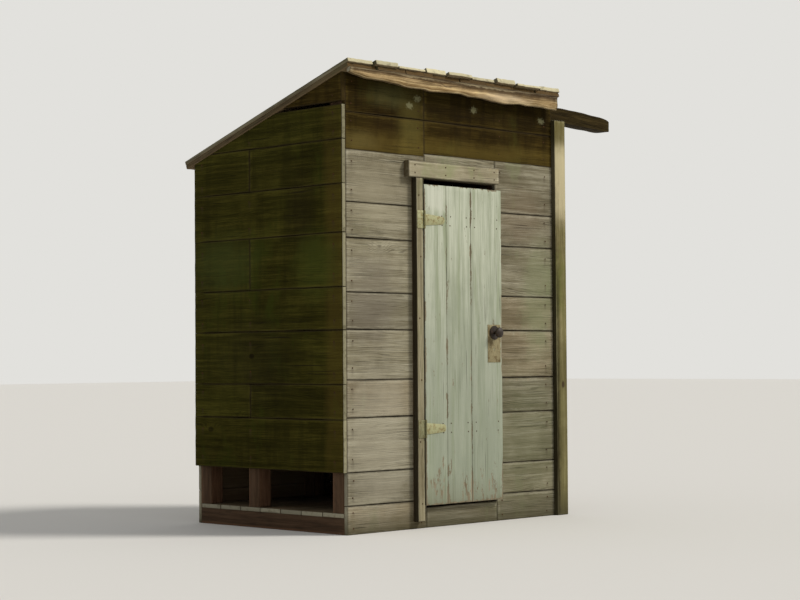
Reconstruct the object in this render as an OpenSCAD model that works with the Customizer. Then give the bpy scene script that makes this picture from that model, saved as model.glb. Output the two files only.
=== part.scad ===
// Wooden outhouse: one small room of sawn boards on a post frame, with a single-pitch board roof.
// Millimetres, +Z up. The front with its door faces -Y and the roof falls towards +Y.
// The origin is on the ground at the centre of the room's footprint, under the middle skid.

/* [House] */
// Outside width of the room over its wall boards
house_w = 1755; // [1500:5:2200]
// Outside depth of the room over its wall boards
house_d = 1250; // [1100:5:1700]
// Thickness of the wall boards
board_t = 25; // [18:1:32]
// Height of the roof boards' underside at the front face
eaves_z = 2502; // [2380:1:2700]

/* [Floor] */
// Height of the skids that lie on the ground
skid_h = 89; // [70:1:120]
// Width of each skid
skid_w = 89; // [70:1:110]
// Thickness of the floor boards
floor_t = 25; // [18:1:32]

/* [Frame] */
// Side of the square posts
post_s = 89; // [75:1:100]
// Centre of the side posts, measured back from the front face
side_post_y = 760; // [600:5:900]
// Height of the front beam
beam_h = 84; // [75:1:100]
// Depth of the front beam, front to back
beam_w = 90; // [80:1:100]
// Length of the front beam that stands out past the right wall
beam_reach = 610; // [200:5:700]
// Distance that the free end of the front beam hangs below its straight part
beam_droop = 28; // [0:1:40]
// Chamfer round the free end of the front beam
beam_chamfer = 16; // [4:1:25]
// Height and depth of the purlin and the back plate
purlin_s = 89; // [80:1:95]
// Height that each roof timber keeps above its bevelled seat
seat_lip = 6; // [2:0.5:10]
// Side of the square post outside the right front corner
outer_post_s = 100; // [85:1:110]
// Distance that the outer post stands proud of the front face
outer_post_proud = 25; // [10:1:32]

/* [Side walls] */
// Height of the lowest board left on the left side, where the boards below are gone
left_foot_z = 334; // [200:1:500]
// Distance from the roof boards' underside at the front down to the crack under the tapered board
crack_drop = 175; // [150:1:250]
// Height of that open crack
crack_h = 18; // [8:1:30]

/* [Doorway] */
// Distance from the left corner to the doorway
doorway_x = 640; // [560:5:760]
// Clear width of the doorway
doorway_w = 595; // [540:5:700]
// Height of the doorway above the floor
doorway_h = 1845; // [1700:1:1870]
// Height of the lintel behind the doorway's top
lintel_h = 89; // [60:1:100]
// Thickness of the lintel, front to back
lintel_t = 38; // [25:1:60]

/* [Front band] */
// Height of the band's lower edge above the doorway's top, left of the doorway's left side
band_left_rise = 126; // [110:1:160]
// Height of the band's lower edge above the doorway's top, right of the doorway's left side
band_right_rise = 142; // [110:1:180]

/* [Door trim] */
// Thickness of the casing and the header board
trim_t = 38; // [34:1:42]
// Width of the casing on the hinge side
casing_w = 55; // [50:1:75]
// Height of the casing's foot above the ground
casing_foot = 40; // [0:5:80]
// Height of the header board
header_h = 92; // [80:1:110]
// Distance that the header board runs past the casing, to the left
header_reach = 58; // [0:1:80]
// Distance from the doorway's top to the header board
header_lift = 2; // [0:1:30]

/* [Door] */
// Width of the door
door_w = 646; // [640:1:680]
// Distance that the door laps over the left side of the doorway
door_lap = 40; // [20:1:50]
// Height of the door's lower edge above the floor
door_lift = 14; // [10:1:20]
// Distance between the door's top and the doorway's top
door_drop = 34; // [8:1:40]
// Thickness of the door boards
leaf_t = 22; // [18:1:22]
// Distance between the casing and the door
door_gap = 10; // [8:0.5:12]
// Height of the two ledges across the back of the door
ledge_h = 95; // [80:1:110]
// Thickness of the ledges and the brace
ledge_t = 25; // [18:1:28]
// Distance between the ledges and the sides of the doorway
ledge_clear = 15; // [12:1:25]
// Width of the diagonal brace, measured along the ledges
brace_w = 100; // [80:1:120]

/* [Hinges] */
// Height of the lower hinge above the door's foot
hinge_low_rise = 427; // [200:1:550]
// Distance from the door's top down to the upper hinge
hinge_high_drop = 199; // [120:1:300]
// Thickness of the hinge plates
hinge_t = 3; // [2:0.5:4]
// Radius of the rolled knuckles
knuckle_r = 6; // [5.5:0.5:7]
// Radius of the hinge pin
pin_r = 3; // [2.5:0.5:3.5]
// Radial clearance round the hinge pin
pin_clear = 0.08; // [0.05:0.01:0.1]
// Width of the plate on the casing
plate_w = 54; // [46:1:55]
// Height of the plate on the casing
plate_h = 100; // [80:1:110]
// Length of the strap on the door, from the pin
strap_len = 168; // [120:1:240]
// Height of the strap at its knuckle
strap_h = 66; // [40:1:70]
// Radius of the strap's round end
strap_tip_r = 22; // [10:1:26]
// Gap between one knuckle and the next
knuckle_gap = 1; // [0.5:0.5:2]

/* [Knob] */
// Height of the knob above the door's foot
knob_rise = 967; // [850:1:1050]
// Distance from the door's free edge to the knob
backset = 70; // [60:1:80]
// Radius of the knob
knob_r = 30; // [22:1:32]
// Half the depth of the knob's rounded head
knob_half = 17; // [14:1:20]
// Distance that the knob stands out from the door boards
knob_reach = 60; // [54:1:66]
// Radius of the knob's neck
neck_r = 9; // [7:0.5:10]
// Radius of the round rose on the neck, against the lock plate
rose_r = 40; // [16:1:44]
// Thickness of that rose
rose_t = 5; // [3:0.5:6]
// Radial clearance round the neck in the lock plate
neck_clear = 0.08; // [0.05:0.01:0.1]
// Width of the lock plate
lock_w = 110; // [60:1:118]
// Height of the lock plate
lock_h = 218; // [150:1:230]
// Thickness of the lock plate
lock_t = 2; // [1.5:0.5:2.5]
// Distance from the top of the lock plate to the knob
lock_top = 46; // [30:1:60]
// Distance from the knob down to the keyhole
keyhole_drop = 95; // [80:1:110]

/* [Roof] */
// Slope of the roof in degrees
roof_pitch = 18.26; // [12:0.01:22]
// Distance that the roof stands out past the front face
roof_front = 92; // [75:1:140]
// Distance that the roof stands out past the back face
roof_back = 70; // [40:1:120]
// Distance that the roof stands out past each side wall
roof_side = 12; // [0:1:40]
// Thickness of the lower roof boards
deck_t = 25; // [18:1:32]
// Usual thickness of the upper roof boards
cover_t = 25; // [18:1:32]
// Difference between that thickness and the thickest or thinnest upper board
cover_vary = 8; // [0:1:10]
// Number of upper roof boards
cover_n = 9; // [6:1:12]
// Gap between one upper roof board and the next
cover_gap = 6; // [3:1:10]
// Distance that the upper boards' long edges wander
cover_rag = 14; // [0:1:20]
// Distance that the upper boards' ends are out of line
cover_step = 36; // [0:1:50]

/* [Fascia] */
// Distance from the front face to the fascia's outer face
fascia_out = 65; // [45:1:75]
// Thickness of the fascia plank
fascia_t = 25; // [18:1:32]
// Height of the fascia at its thin left end
fascia_tip = 30; // [15:1:40]
// Height of the fascia at its right end
fascia_h = 86; // [70:1:100]
// Distance that the fascia stops short of the right wall's face
fascia_short = 15; // [0:1:60]
// Depth of the waves along the natural edge of the fascia
fascia_wave = 3; // [0:0.5:5]

/* [Hidden] */
$fn = 48;

grey_wood = "#a39c90";
olive_wood = "#6f6544";
brown_wood = "#6b5040";
tan_wood = "#b9977a";
pale_paint = "#bcc3b4";
rusty_yellow = "#a8823a";
dark_metal = "#2b2622";
tarnished = "#a08a5e";

slope = tan(roof_pitch);
far = 6000;
floor_z = skid_h + floor_t;
inner_x = board_t;
inner_w = house_w - 2 * board_t;
inner_d = house_d - 2 * board_t;
back_y = house_d - board_t;
doorway_right = doorway_x + doorway_w;
doorway_top = floor_z + doorway_h;

door_face = -trim_t;
door_left = doorway_x - door_lap;
door_right = door_left + door_w;
door_foot = floor_z + door_lift;
door_h = doorway_h - door_lift - door_drop;
leaf_back = door_face + leaf_t;
casing_right = door_left - door_gap;
pin_x = door_left - door_gap / 2;
pin_y = door_face - knuckle_r;
header_z = doorway_top + header_lift;
hinge_low_z = door_foot + hinge_low_rise;
hinge_high_z = door_foot + door_h - hinge_high_drop;
knob_x = door_right - backset;
knob_z = door_foot + knob_rise;
band_left_z = doorway_top + band_left_rise;
band_right_z = doorway_top + band_right_rise;
crack_z = eaves_z - crack_drop;

roof_len = (house_d + roof_front + roof_back) / cos(roof_pitch);
roof_w = house_w + 2 * roof_side;

// Height of the roof boards' underside at a distance back from the front face
function under_roof_z(y) = eaves_z - y * slope;

// A wandering value between -1 and 1 for piece number i
function wander(i) = sin(i * 137.5 + 40);

// Height of the fascia at a share s of its length
function fascia_depth(s) =
    fascia_tip + (fascia_h - fascia_tip) * pow(s, 0.35) + fascia_wave * sin(1500 * s);

// Moves pieces from the left front corner to the centre of the footprint
module placed() {
    translate([-house_w / 2, -house_d / 2, 0])
        children();
}

// Everything below the underside of the roof boards
module below_roof() {
    translate([house_w / 2, 0, eaves_z])
        rotate([-roof_pitch, 0, 0])
            translate([-far / 2, -far / 2, -far])
                cube(far);
}

// A box from one corner to the opposite one
module span(low, high) {
    translate(low)
        cube(high - low);
}

// A box trimmed to the underside of the roof boards
module trimmed(low, high) {
    intersection() {
        span(low, high);
        below_roof();
    }
}

module skid(x) {
    color(brown_wood)
        placed()
            span([x, board_t, 0], [x + skid_w, back_y, skid_h]);
}

module floor_deck() {
    color(grey_wood)
        placed()
            span([inner_x, board_t, skid_h], [inner_x + inner_w, back_y, floor_z]);
}

// A square post that stands on the floor
module post(x, y, top) {
    color(brown_wood)
        placed()
            span([x, y, floor_z], [x + post_s, y + post_s, top]);
}

// The top of a level roof timber whose back edge is at y, with its lip above the seat
function timber_top(y) = under_roof_z(y) + seat_lip;

beam_back = board_t + beam_w;
beam_z = timber_top(beam_back) - beam_h;
purlin_back = side_post_y + purlin_s / 2;
purlin_z = timber_top(purlin_back) - purlin_s;
plate_z = timber_top(back_y) - purlin_s;

// The front beam is seated under the roof boards, runs out past the right wall and droops there
module front_beam() {
    free_x = house_w + beam_reach;
    color(brown_wood)
        placed()
            intersection() {
                beam_side(free_x);
                beam_plan(free_x);
                below_roof();
            }
}

// The beam as seen from the front: straight as far as the outer post, then bent down
module beam_side(free_x) {
    bend_x = house_w + outer_post_s;
    mid_x = (bend_x + free_x) / 2;
    mid_droop = beam_droop * 0.4;
    tip_x = free_x - beam_chamfer;
    low_z = beam_z - beam_droop;
    high_z = low_z + beam_h;
    translate([0, beam_back, 0])
        rotate([90, 0, 0])
            linear_extrude(beam_w)
                polygon([
                    [inner_x, beam_z],
                    [bend_x, beam_z],
                    [mid_x, beam_z - mid_droop],
                    [tip_x, low_z],
                    [free_x, low_z + beam_chamfer],
                    [free_x, high_z - beam_chamfer],
                    [tip_x, high_z],
                    [mid_x, beam_z + beam_h - mid_droop],
                    [bend_x, beam_z + beam_h],
                    [inner_x, beam_z + beam_h],
                ]);
}

// The beam as seen from above, worn back at the corners of its free end
module beam_plan(free_x) {
    tip_x = free_x - beam_chamfer;
    translate([0, 0, beam_z - beam_droop])
        linear_extrude(beam_h + beam_droop)
            polygon([
                [inner_x, board_t],
                [tip_x, board_t],
                [free_x, board_t + beam_chamfer],
                [free_x, beam_back - beam_chamfer],
                [tip_x, beam_back],
                [inner_x, beam_back],
            ]);
}

module roof_purlin() {
    color(brown_wood)
        placed()
            trimmed([inner_x, purlin_back - purlin_s, purlin_z],
                [inner_x + inner_w, purlin_back, purlin_z + purlin_s]);
}

module back_plate() {
    color(brown_wood)
        placed()
            trimmed([inner_x, back_y - purlin_s, plate_z], [inner_x + inner_w, back_y, plate_z + purlin_s]);
}

// The outer post stands on the ground and carries the beam where it leaves the wall
module outer_post() {
    color(grey_wood)
        placed()
            span([house_w, -outer_post_proud, 0], [house_w + outer_post_s, outer_post_s - outer_post_proud, beam_z]);
}

module door_lintel() {
    color(brown_wood)
        placed()
            span([doorway_x, board_t, doorway_top], [doorway_right, board_t + lintel_t, doorway_top + lintel_h]);
}

module front_wall(x0, x1, z0, z1) {
    color(grey_wood)
        placed()
            span([x0, 0, z0], [x1, board_t, z1]);
}

module front_band(x0, x1, z0) {
    color(olive_wood)
        placed()
            trimmed([x0, 0, z0], [x1, board_t, eaves_z]);
}

// The left wall has lost its lowest boards and laps the ends of the front and back boards
module left_wall() {
    color(olive_wood)
        placed()
            trimmed([0, 0, left_foot_z], [board_t, house_d, crack_z]);
}

module left_tapered_board() {
    color(brown_wood)
        placed()
            trimmed([0, 0, crack_z + crack_h], [board_t, house_d, eaves_z]);
}

// The beam passes out over the top of the right wall's boards
module right_wall() {
    beam_hole = [[house_w - 2 * board_t, 0, beam_z], [house_w + board_t, beam_back, eaves_z]];
    color(grey_wood)
        placed()
            difference() {
                trimmed([house_w - board_t, board_t, 0], [house_w, back_y, eaves_z]);
                span(beam_hole[0], beam_hole[1]);
            }
}

module back_wall() {
    color(grey_wood)
        placed()
            trimmed([inner_x, back_y, 0], [house_w, house_d, eaves_z]);
}

// Places pieces on the roof's slope: X across, Y down the slope from the front edge, Z square to it
module on_roof() {
    placed()
        translate([house_w / 2, 0, eaves_z])
            rotate([-roof_pitch, 0, 0])
                translate([-roof_w / 2, -roof_front / cos(roof_pitch), 0])
                    children();
}

module roof_deck() {
    color(grey_wood)
        on_roof()
            cube([roof_w, roof_len, deck_t]);
}

// Distance across the roof to the edge between two upper boards
function cover_edge(i) =
    i == 0 ? 0 : i == cover_n ? roof_w : i * roof_w / cover_n + cover_rag * wander(i);

// Upper boards run down the slope over the lower ones, with their ends out of line
module roof_cover() {
    color(grey_wood)
        on_roof()
            for (i = [0 : cover_n - 1]) {
                x0 = cover_edge(i) + (i == 0 ? 0 : cover_gap / 2);
                x1 = cover_edge(i + 1) - (i == cover_n - 1 ? 0 : cover_gap / 2);
                y0 = cover_step * (1 + wander(i + 3)) / 2;
                y1 = roof_len - cover_step * (1 + wander(i + 7)) / 2;
                thick = cover_t + cover_vary * wander(i + 5);
                span([x0, y0, deck_t], [x1, y1, deck_t + thick]);
            }
}

// A plank with one natural edge, hung under the front ends of the roof boards
module fascia() {
    len = house_w - fascia_short;
    steps = 40;
    lower = [for (i = [0 : steps]) [len * i / steps, -fascia_depth(i / steps)]];
    upper = [[len, fascia_h], [0, fascia_h]];
    color(tan_wood)
        placed()
            intersection() {
                translate([0, -fascia_out + fascia_t, under_roof_z(-fascia_out)])
                    rotate([90, 0, 0])
                        linear_extrude(fascia_t)
                            polygon(concat(lower, upper));
                below_roof();
            }
}

module door_casing() {
    color(grey_wood)
        placed()
            span([casing_right - casing_w, -trim_t, casing_foot], [casing_right, 0, header_z]);
}

module door_header() {
    color(grey_wood)
        placed()
            span([casing_right - casing_w - header_reach, -trim_t, header_z],
                [doorway_right, 0, header_z + header_h]);
}

// Upright boards, bored for the knob's neck
module door_leaf() {
    color(pale_paint)
        placed()
            difference() {
                span([door_left, door_face, door_foot], [door_right, leaf_back, door_foot + door_h]);
                translate([knob_x, leaf_back + 1, knob_z])
                    rotate([90, 0, 0])
                        cylinder(r = neck_r + 2, h = leaf_t + 2);
            }
}

ledge_x0 = doorway_x + ledge_clear;
ledge_x1 = doorway_right - ledge_clear;

module door_ledges() {
    color(grey_wood)
        placed()
            for (z = [hinge_low_z, hinge_high_z])
                span([ledge_x0, leaf_back, z - ledge_h / 2], [ledge_x1, leaf_back + ledge_t, z + ledge_h / 2]);
}

// The brace rises from the hinge side of the lower ledge to the free side of the upper one
module door_brace() {
    low_z = hinge_low_z + ledge_h / 2;
    high_z = hinge_high_z - ledge_h / 2;
    color(grey_wood)
        placed()
            translate([0, leaf_back + ledge_t, 0])
                rotate([90, 0, 0])
                    linear_extrude(ledge_t)
                        polygon([
                            [ledge_x0, low_z],
                            [ledge_x0 + brace_w, low_z],
                            [ledge_x1, high_z],
                            [ledge_x1 - brace_w, high_z],
                        ]);
}

// The fixed plate of a strap hinge, with its end knuckles and the pin
module hinge_plate(z) {
    notch_h = strap_h + 2 * knuckle_gap;
    notch_w = 2 * knuckle_r + 3;
    color(rusty_yellow)
        placed()
            translate([pin_x, pin_y, z]) {
                difference() {
                    union() {
                        translate([-plate_w, knuckle_r - hinge_t, -plate_h / 2])
                            cube([plate_w, hinge_t, plate_h]);
                        cylinder(r = knuckle_r, h = plate_h, center = true);
                    }
                    cube([notch_w, notch_w, notch_h], center = true);
                }
                cylinder(r = pin_r, h = plate_h + 2 * hinge_t, center = true);
            }
}

// The strap of a hinge, rolled round the pin, narrowing to a round end
module hinge_strap(z) {
    tip_x = strap_len - strap_tip_r;
    color(rusty_yellow)
        placed()
            translate([pin_x, pin_y, z])
                difference() {
                    union() {
                        cylinder(r = knuckle_r, h = strap_h, center = true);
                        translate([0, knuckle_r, 0])
                            rotate([90, 0, 0])
                                linear_extrude(hinge_t) {
                                    polygon([
                                        [0, -strap_h / 2],
                                        [tip_x, -strap_tip_r],
                                        [tip_x, strap_tip_r],
                                        [0, strap_h / 2],
                                    ]);
                                    translate([tip_x, 0])
                                        circle(r = strap_tip_r);
                                }
                    }
                    cylinder(r = pin_r + pin_clear, h = strap_h + 2, center = true);
                }
}

// A long plate with the knob's bearing and a keyhole
module lock_plate() {
    top = knob_z + lock_top;
    color(tarnished)
        placed()
            difference() {
                span([knob_x - lock_w / 2, door_face - lock_t, top - lock_h], [knob_x + lock_w / 2, door_face, top]);
                translate([knob_x, door_face + 1, knob_z])
                    rotate([90, 0, 0])
                        cylinder(r = neck_r + neck_clear, h = lock_t + 2);
                translate([knob_x, door_face + 1, knob_z - keyhole_drop])
                    rotate([90, 0, 0])
                        linear_extrude(lock_t + 2) {
                            circle(r = 4);
                            translate([-2, -14])
                                square([4, 14]);
                        }
            }
}

// Half outline of one rounded knob head: radius against distance along its axis
function head_outline(mid, way) = [
    for (a = [-70 : 10 : 90]) [knob_r * cos(a), mid + way * knob_half * sin(a)]
];

// One knob on each side of the door, on a neck that turns in the lock plate
module door_knob() {
    run_gap = 0.5;
    jamb_gap = 15;
    inner_rose_r = min(rose_r, doorway_right - knob_x - jamb_gap);
    outer_face = lock_t + run_gap;
    inner_face = -leaf_t - run_gap;
    outer_mid = knob_reach - knob_half;
    inner_mid = -leaf_t - outer_mid;
    color(dark_metal)
        placed()
            translate([knob_x, door_face, knob_z])
                rotate([90, 0, 0])
                    rotate_extrude()
                        polygon(concat(
                            [[0, inner_mid - knob_half]],
                            [for (p = [1 : 16]) head_outline(inner_mid, -1)[16 - p]],
                            [[neck_r, inner_mid + knob_half]],
                            [[neck_r, inner_face - rose_t]],
                            [[inner_rose_r, inner_face - rose_t]],
                            [[inner_rose_r, inner_face]],
                            [[neck_r, inner_face]],
                            [[neck_r, outer_face]],
                            [[rose_r, outer_face]],
                            [[rose_r, outer_face + rose_t]],
                            [[neck_r, outer_face + rose_t]],
                            [[neck_r, outer_mid - knob_half]],
                            [for (p = [0 : 15]) head_outline(outer_mid, 1)[p]],
                            [[0, outer_mid + knob_half]]
                        ));
}

front_right_post_x = house_w - board_t - post_s;
back_post_y = back_y - post_s;
side_post_front = side_post_y - post_s / 2;

skid(inner_x);  // skid_left
skid((house_w - skid_w) / 2);  // skid_middle
skid(house_w - board_t - skid_w);  // skid_right
floor_deck();  // floor
post(inner_x, board_t, beam_z);  // corner_post_front_left
post(front_right_post_x, board_t, beam_z);  // corner_post_front_right
post(inner_x, back_post_y, plate_z);  // corner_post_back_left
post(front_right_post_x, back_post_y, plate_z);  // corner_post_back_right
post(inner_x, side_post_front, purlin_z);  // side_post_left
post(front_right_post_x, side_post_front, purlin_z);  // side_post_right
post((house_w - post_s) / 2, back_post_y, plate_z);  // back_post
post(doorway_x - post_s, board_t, beam_z);  // door_post_left
post(doorway_right, board_t, beam_z);  // door_post_right
door_lintel();
front_beam();
roof_purlin();
back_plate();
outer_post();
front_wall(inner_x, doorway_x, 0, band_left_z);  // front_wall_left
front_wall(doorway_right, house_w, 0, band_right_z);  // front_wall_right
front_wall(doorway_x, doorway_right, doorway_top, band_right_z);  // front_wall_over_door
front_wall(doorway_x, doorway_right, 0, floor_z);  // door_sill
front_band(inner_x, doorway_x, band_left_z);  // front_band_left
front_band(doorway_x, house_w, band_right_z);  // front_band_right
left_wall();
left_tapered_board();
right_wall();
back_wall();
roof_deck();
roof_cover();
fascia();
door_casing();
door_header();
door_leaf();
door_ledges();
door_brace();
hinge_plate(hinge_high_z);  // hinge_upper_plate
hinge_strap(hinge_high_z);  // hinge_upper_strap
hinge_plate(hinge_low_z);  // hinge_lower_plate
hinge_strap(hinge_low_z);  // hinge_lower_strap
lock_plate();
door_knob();
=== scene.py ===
"""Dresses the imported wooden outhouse: weathered boards, worn door paint, rusty ironwork, a plain studio."""

import logging
import math
import random
from collections.abc import Iterable, Sequence
from dataclasses import dataclass, field, replace
from enum import Enum

import bmesh
import bpy
from mathutils import Matrix, Vector


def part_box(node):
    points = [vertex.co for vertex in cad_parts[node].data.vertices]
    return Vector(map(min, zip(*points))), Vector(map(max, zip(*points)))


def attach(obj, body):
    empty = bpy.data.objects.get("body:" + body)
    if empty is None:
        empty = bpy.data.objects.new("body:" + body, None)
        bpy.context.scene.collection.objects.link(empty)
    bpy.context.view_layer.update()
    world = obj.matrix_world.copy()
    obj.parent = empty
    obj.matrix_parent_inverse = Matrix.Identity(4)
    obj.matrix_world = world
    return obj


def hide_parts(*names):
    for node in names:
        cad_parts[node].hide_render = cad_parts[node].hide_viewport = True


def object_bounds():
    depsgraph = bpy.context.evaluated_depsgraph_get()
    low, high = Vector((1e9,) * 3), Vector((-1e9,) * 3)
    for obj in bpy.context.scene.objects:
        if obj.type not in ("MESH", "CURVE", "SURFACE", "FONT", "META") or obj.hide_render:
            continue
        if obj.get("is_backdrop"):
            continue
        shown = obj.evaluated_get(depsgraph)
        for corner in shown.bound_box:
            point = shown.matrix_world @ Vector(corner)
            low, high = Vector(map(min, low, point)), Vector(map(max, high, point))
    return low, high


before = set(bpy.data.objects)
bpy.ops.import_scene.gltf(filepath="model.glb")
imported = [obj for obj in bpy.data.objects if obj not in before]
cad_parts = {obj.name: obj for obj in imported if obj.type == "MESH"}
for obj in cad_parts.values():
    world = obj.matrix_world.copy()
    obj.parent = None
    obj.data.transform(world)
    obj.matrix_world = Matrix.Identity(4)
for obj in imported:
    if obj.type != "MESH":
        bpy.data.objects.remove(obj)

log = logging.getLogger("outhouse")

Colour = tuple[int, int, int]
Pair = tuple[float, float]
Triple = tuple[float, float, float]

# The step between two boards' seeds, and the widest turn of a nail or screw head, in radians.
SEED_STEP = 1.618
HALF_TURN = 3.1
# Where nails stand, as a share of a board's width from its middle, and how proud heads are, in metres.
NAIL_SHARE = 0.28
NAIL_PROUD = 0.0006
SCREW_PROUD = 0.0004
# How near two coordinates are when they count as the same, in metres.
TOUCH = 1e-4
# The angle past which an edge of a hewn piece is rounded.
HEWN_DEG = 50.0
# The share of a board's thickness, from its middle, over which it browns towards the room.
ROOM_SIDE = (-0.30, -0.46)


class Axis(Enum):
    """A level direction of the frame, for choosing a coordinate."""

    X = 0
    Y = 1


def linear(colour: Colour) -> tuple[float, float, float, float]:
    """Turns a screen colour into the linear colour that shaders use.

    Args:
        colour: red, green and blue from 0 to 255, as they look on a screen.

    Returns:
        Linear red, green, blue and an alpha of 1.
    """
    shares = [c / 255 for c in colour]
    values = [s / 12.92 if s <= 0.04045 else ((s + 0.055) / 1.055) ** 2.4 for s in shares]
    return (values[0], values[1], values[2], 1.0)


class Value:
    """An output of a node. Plain arithmetic on it places the nodes that work out the result."""

    def __init__(self, bench: "Bench", socket: bpy.types.NodeSocket) -> None:
        """Keeps the bench that the node stands on, and the output."""
        self.bench = bench
        self.socket = socket

    def __add__(self, other: "Value | float") -> "Value":
        """Adds."""
        return self.bench.maths("ADD", self, other)

    __radd__ = __add__

    def __sub__(self, other: "Value | float") -> "Value":
        """Takes away."""
        return self.bench.maths("SUBTRACT", self, other)

    def __rsub__(self, other: float) -> "Value":
        """Takes this value away from a number."""
        return self.bench.maths("SUBTRACT", other, self)

    def __mul__(self, other: "Value | float") -> "Value":
        """Multiplies."""
        return self.bench.maths("MULTIPLY", self, other)

    def __truediv__(self, other: "Value | float") -> "Value":
        """Divides."""
        return self.bench.maths("DIVIDE", self, other)

    def __abs__(self) -> "Value":
        """Drops the sign."""
        return self.bench.maths("ABSOLUTE", self)

    def most(self, other: "Value") -> "Value":
        """Gives the higher of two values."""
        return self.bench.maths("MAXIMUM", self, other)

    def least(self, other: "Value") -> "Value":
        """Gives the lower of two values."""
        return self.bench.maths("MINIMUM", self, other)


class Bench:
    """Places nodes in one shader or geometry tree and joins them."""

    def __init__(self, tree: bpy.types.NodeTree) -> None:
        """Keeps the tree to work in."""
        self.tree = tree

    def node(self, kind: str, feeds: dict | None = None, **settings: object) -> bpy.types.Node:
        """Adds a node.

        Args:
            kind: the node's type name.
            feeds: what goes into its inputs, by socket name or number: a Value or a plain value.
            settings: values of the node's own properties.

        Returns:
            The new node.
        """
        made = self.tree.nodes.new(kind)
        for name, value in settings.items():
            setattr(made, name, value)
        for key, value in (feeds or {}).items():
            if isinstance(value, Value):
                self.tree.links.new(value.socket, made.inputs[key])
            else:
                made.inputs[key].default_value = value
        return made

    def outs(self, kind: str, feeds: dict | None = None, **settings: object) -> list[Value]:
        """Adds a node and gives all its outputs. Takes what node() takes."""
        return [Value(self, socket) for socket in self.node(kind, feeds, **settings).outputs]

    def out(self, kind: str, feeds: dict | None = None, give: int | str = 0, **settings: object) -> Value:
        """Adds a node and gives one output. Takes what node() takes, and the output's name or number."""
        return Value(self, self.node(kind, feeds, **settings).outputs[give])

    def maths(self, operation: str, a: Value | float, b: Value | float = 0.0, clamp: bool = False) -> Value:
        """Adds a number operation and gives its result."""
        return self.out("ShaderNodeMath", {0: a, 1: b}, operation=operation, use_clamp=clamp)

    def vectors(self, operation: str, a: Value, b: object) -> Value:
        """Adds a vector operation and gives its result."""
        return self.out("ShaderNodeVectorMath", {0: a, 1: b}, operation=operation)

    def split(self, vector: Value) -> list[Value]:
        """Gives the three parts of a vector."""
        return self.outs("ShaderNodeSeparateXYZ", {0: vector})

    def joined(self, x: Value | float, y: Value | float, z: Value | float) -> Value:
        """Gives a vector of three numbers."""
        return self.out("ShaderNodeCombineXYZ", {0: x, 1: y, 2: z})

    def noise(
        self, place: Value, scale: float | Triple, detail: float = 4.0, rough: float = 0.6,
    ) -> Value:
        """Gives noise from 0 to 1.

        Args:
            place: where it is read.
            scale: features per metre, the same all ways or along each axis.
            detail: how many finer layers it has.
            rough: how strong those layers are.

        Returns:
            The noise.
        """
        if isinstance(scale, tuple):
            place, scale = self.vectors("MULTIPLY", place, scale), 1.0
        feeds = {"Vector": place, "Scale": scale, "Detail": detail, "Roughness": rough}
        return self.out("ShaderNodeTexNoise", feeds)

    def named(self, name: str, kind: str) -> Value:
        """Gives an attribute of that data type, in a geometry tree."""
        return self.out("GeometryNodeInputNamedAttribute", {"Name": name}, data_type=kind)

    def stored(self, geometry: Value, name: str, value: Value) -> Value:
        """Stores a vector attribute on the points and gives the geometry."""
        feeds = {"Geometry": geometry, "Name": name, "Value": value}
        return self.out("GeometryNodeStoreNamedAttribute", feeds, data_type="FLOAT_VECTOR", domain="POINT")

    def wander(self, place: Value, scale: float) -> Value:
        """Gives smooth noise from about -1 to 1."""
        return (self.noise(place, scale, 2.0, 0.5) - 0.5) * 3.0

    def spun(self, tilt: Value | float, seed: Value) -> Value:
        """Gives a random turn about the outward axis, tilted by up to an angle to each side."""
        feeds = {0: self.joined(tilt * -1.0, tilt * -1.0, -HALF_TURN), 1: self.joined(tilt, tilt, HALF_TURN)}
        return self.out("FunctionNodeRandomValue", {**feeds, "Seed": seed}, data_type="FLOAT_VECTOR")

    def step(
        self, value: Value, low: float, high: float, to_low: float = 0.0, to_high: float = 1.0,
    ) -> Value:
        """Maps a range of values smoothly to another and holds it at its ends."""
        feeds = {"Value": value, "From Min": low, "From Max": high, "To Min": to_low, "To Max": to_high}
        return self.out("ShaderNodeMapRange", feeds, interpolation_type="SMOOTHSTEP")

    def ramp(self, value: Value, stops: Sequence[tuple[float, Colour]]) -> Value:
        """Gives a colour along a row of screen colours.

        Args:
            value: the place along the row.
            stops: each colour and its place, from 0 to 1.

        Returns:
            The colour.
        """
        made = self.node("ShaderNodeValToRGB", {0: value})
        band = made.color_ramp
        while len(band.elements) < len(stops):
            band.elements.new(1.0)
        for element, (place, colour) in zip(band.elements, stops):
            element.position = place
            element.color = linear(colour)
        return Value(self, made.outputs[0])

    def mixed(self, share: Value | float, a: Value | Colour, b: Value | Colour, mode: str = "MIX") -> Value:
        """Mixes two colours.

        Args:
            share: how much of the second shows, up to 1.
            a: the first colour, from a node or as a screen colour.
            b: the second colour, in the same way.
            mode: how the second is laid on the first.

        Returns:
            The colour.
        """
        first, second = (c if isinstance(c, Value) else linear(c) for c in (a, b))
        feeds = {0: share, 6: first, 7: second}
        return self.out("ShaderNodeMix", feeds, 2, data_type="RGBA", blend_type=mode)

    def dimmed(self, colour: Value | Colour, level: Value) -> Value:
        """Multiplies a colour by a level of brightness."""
        return self.mixed(1.0, colour, self.joined(level, level, level), "MULTIPLY")

    def attribute(self, name: str, give: str = "Vector") -> Value:
        """Gives an attribute of the mesh, in a material."""
        return self.out("ShaderNodeAttribute", None, give, attribute_name=name)

    def place(self) -> Value:
        """Gives the object's coordinates."""
        return self.out("ShaderNodeTexCoord", None, "Object")

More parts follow.
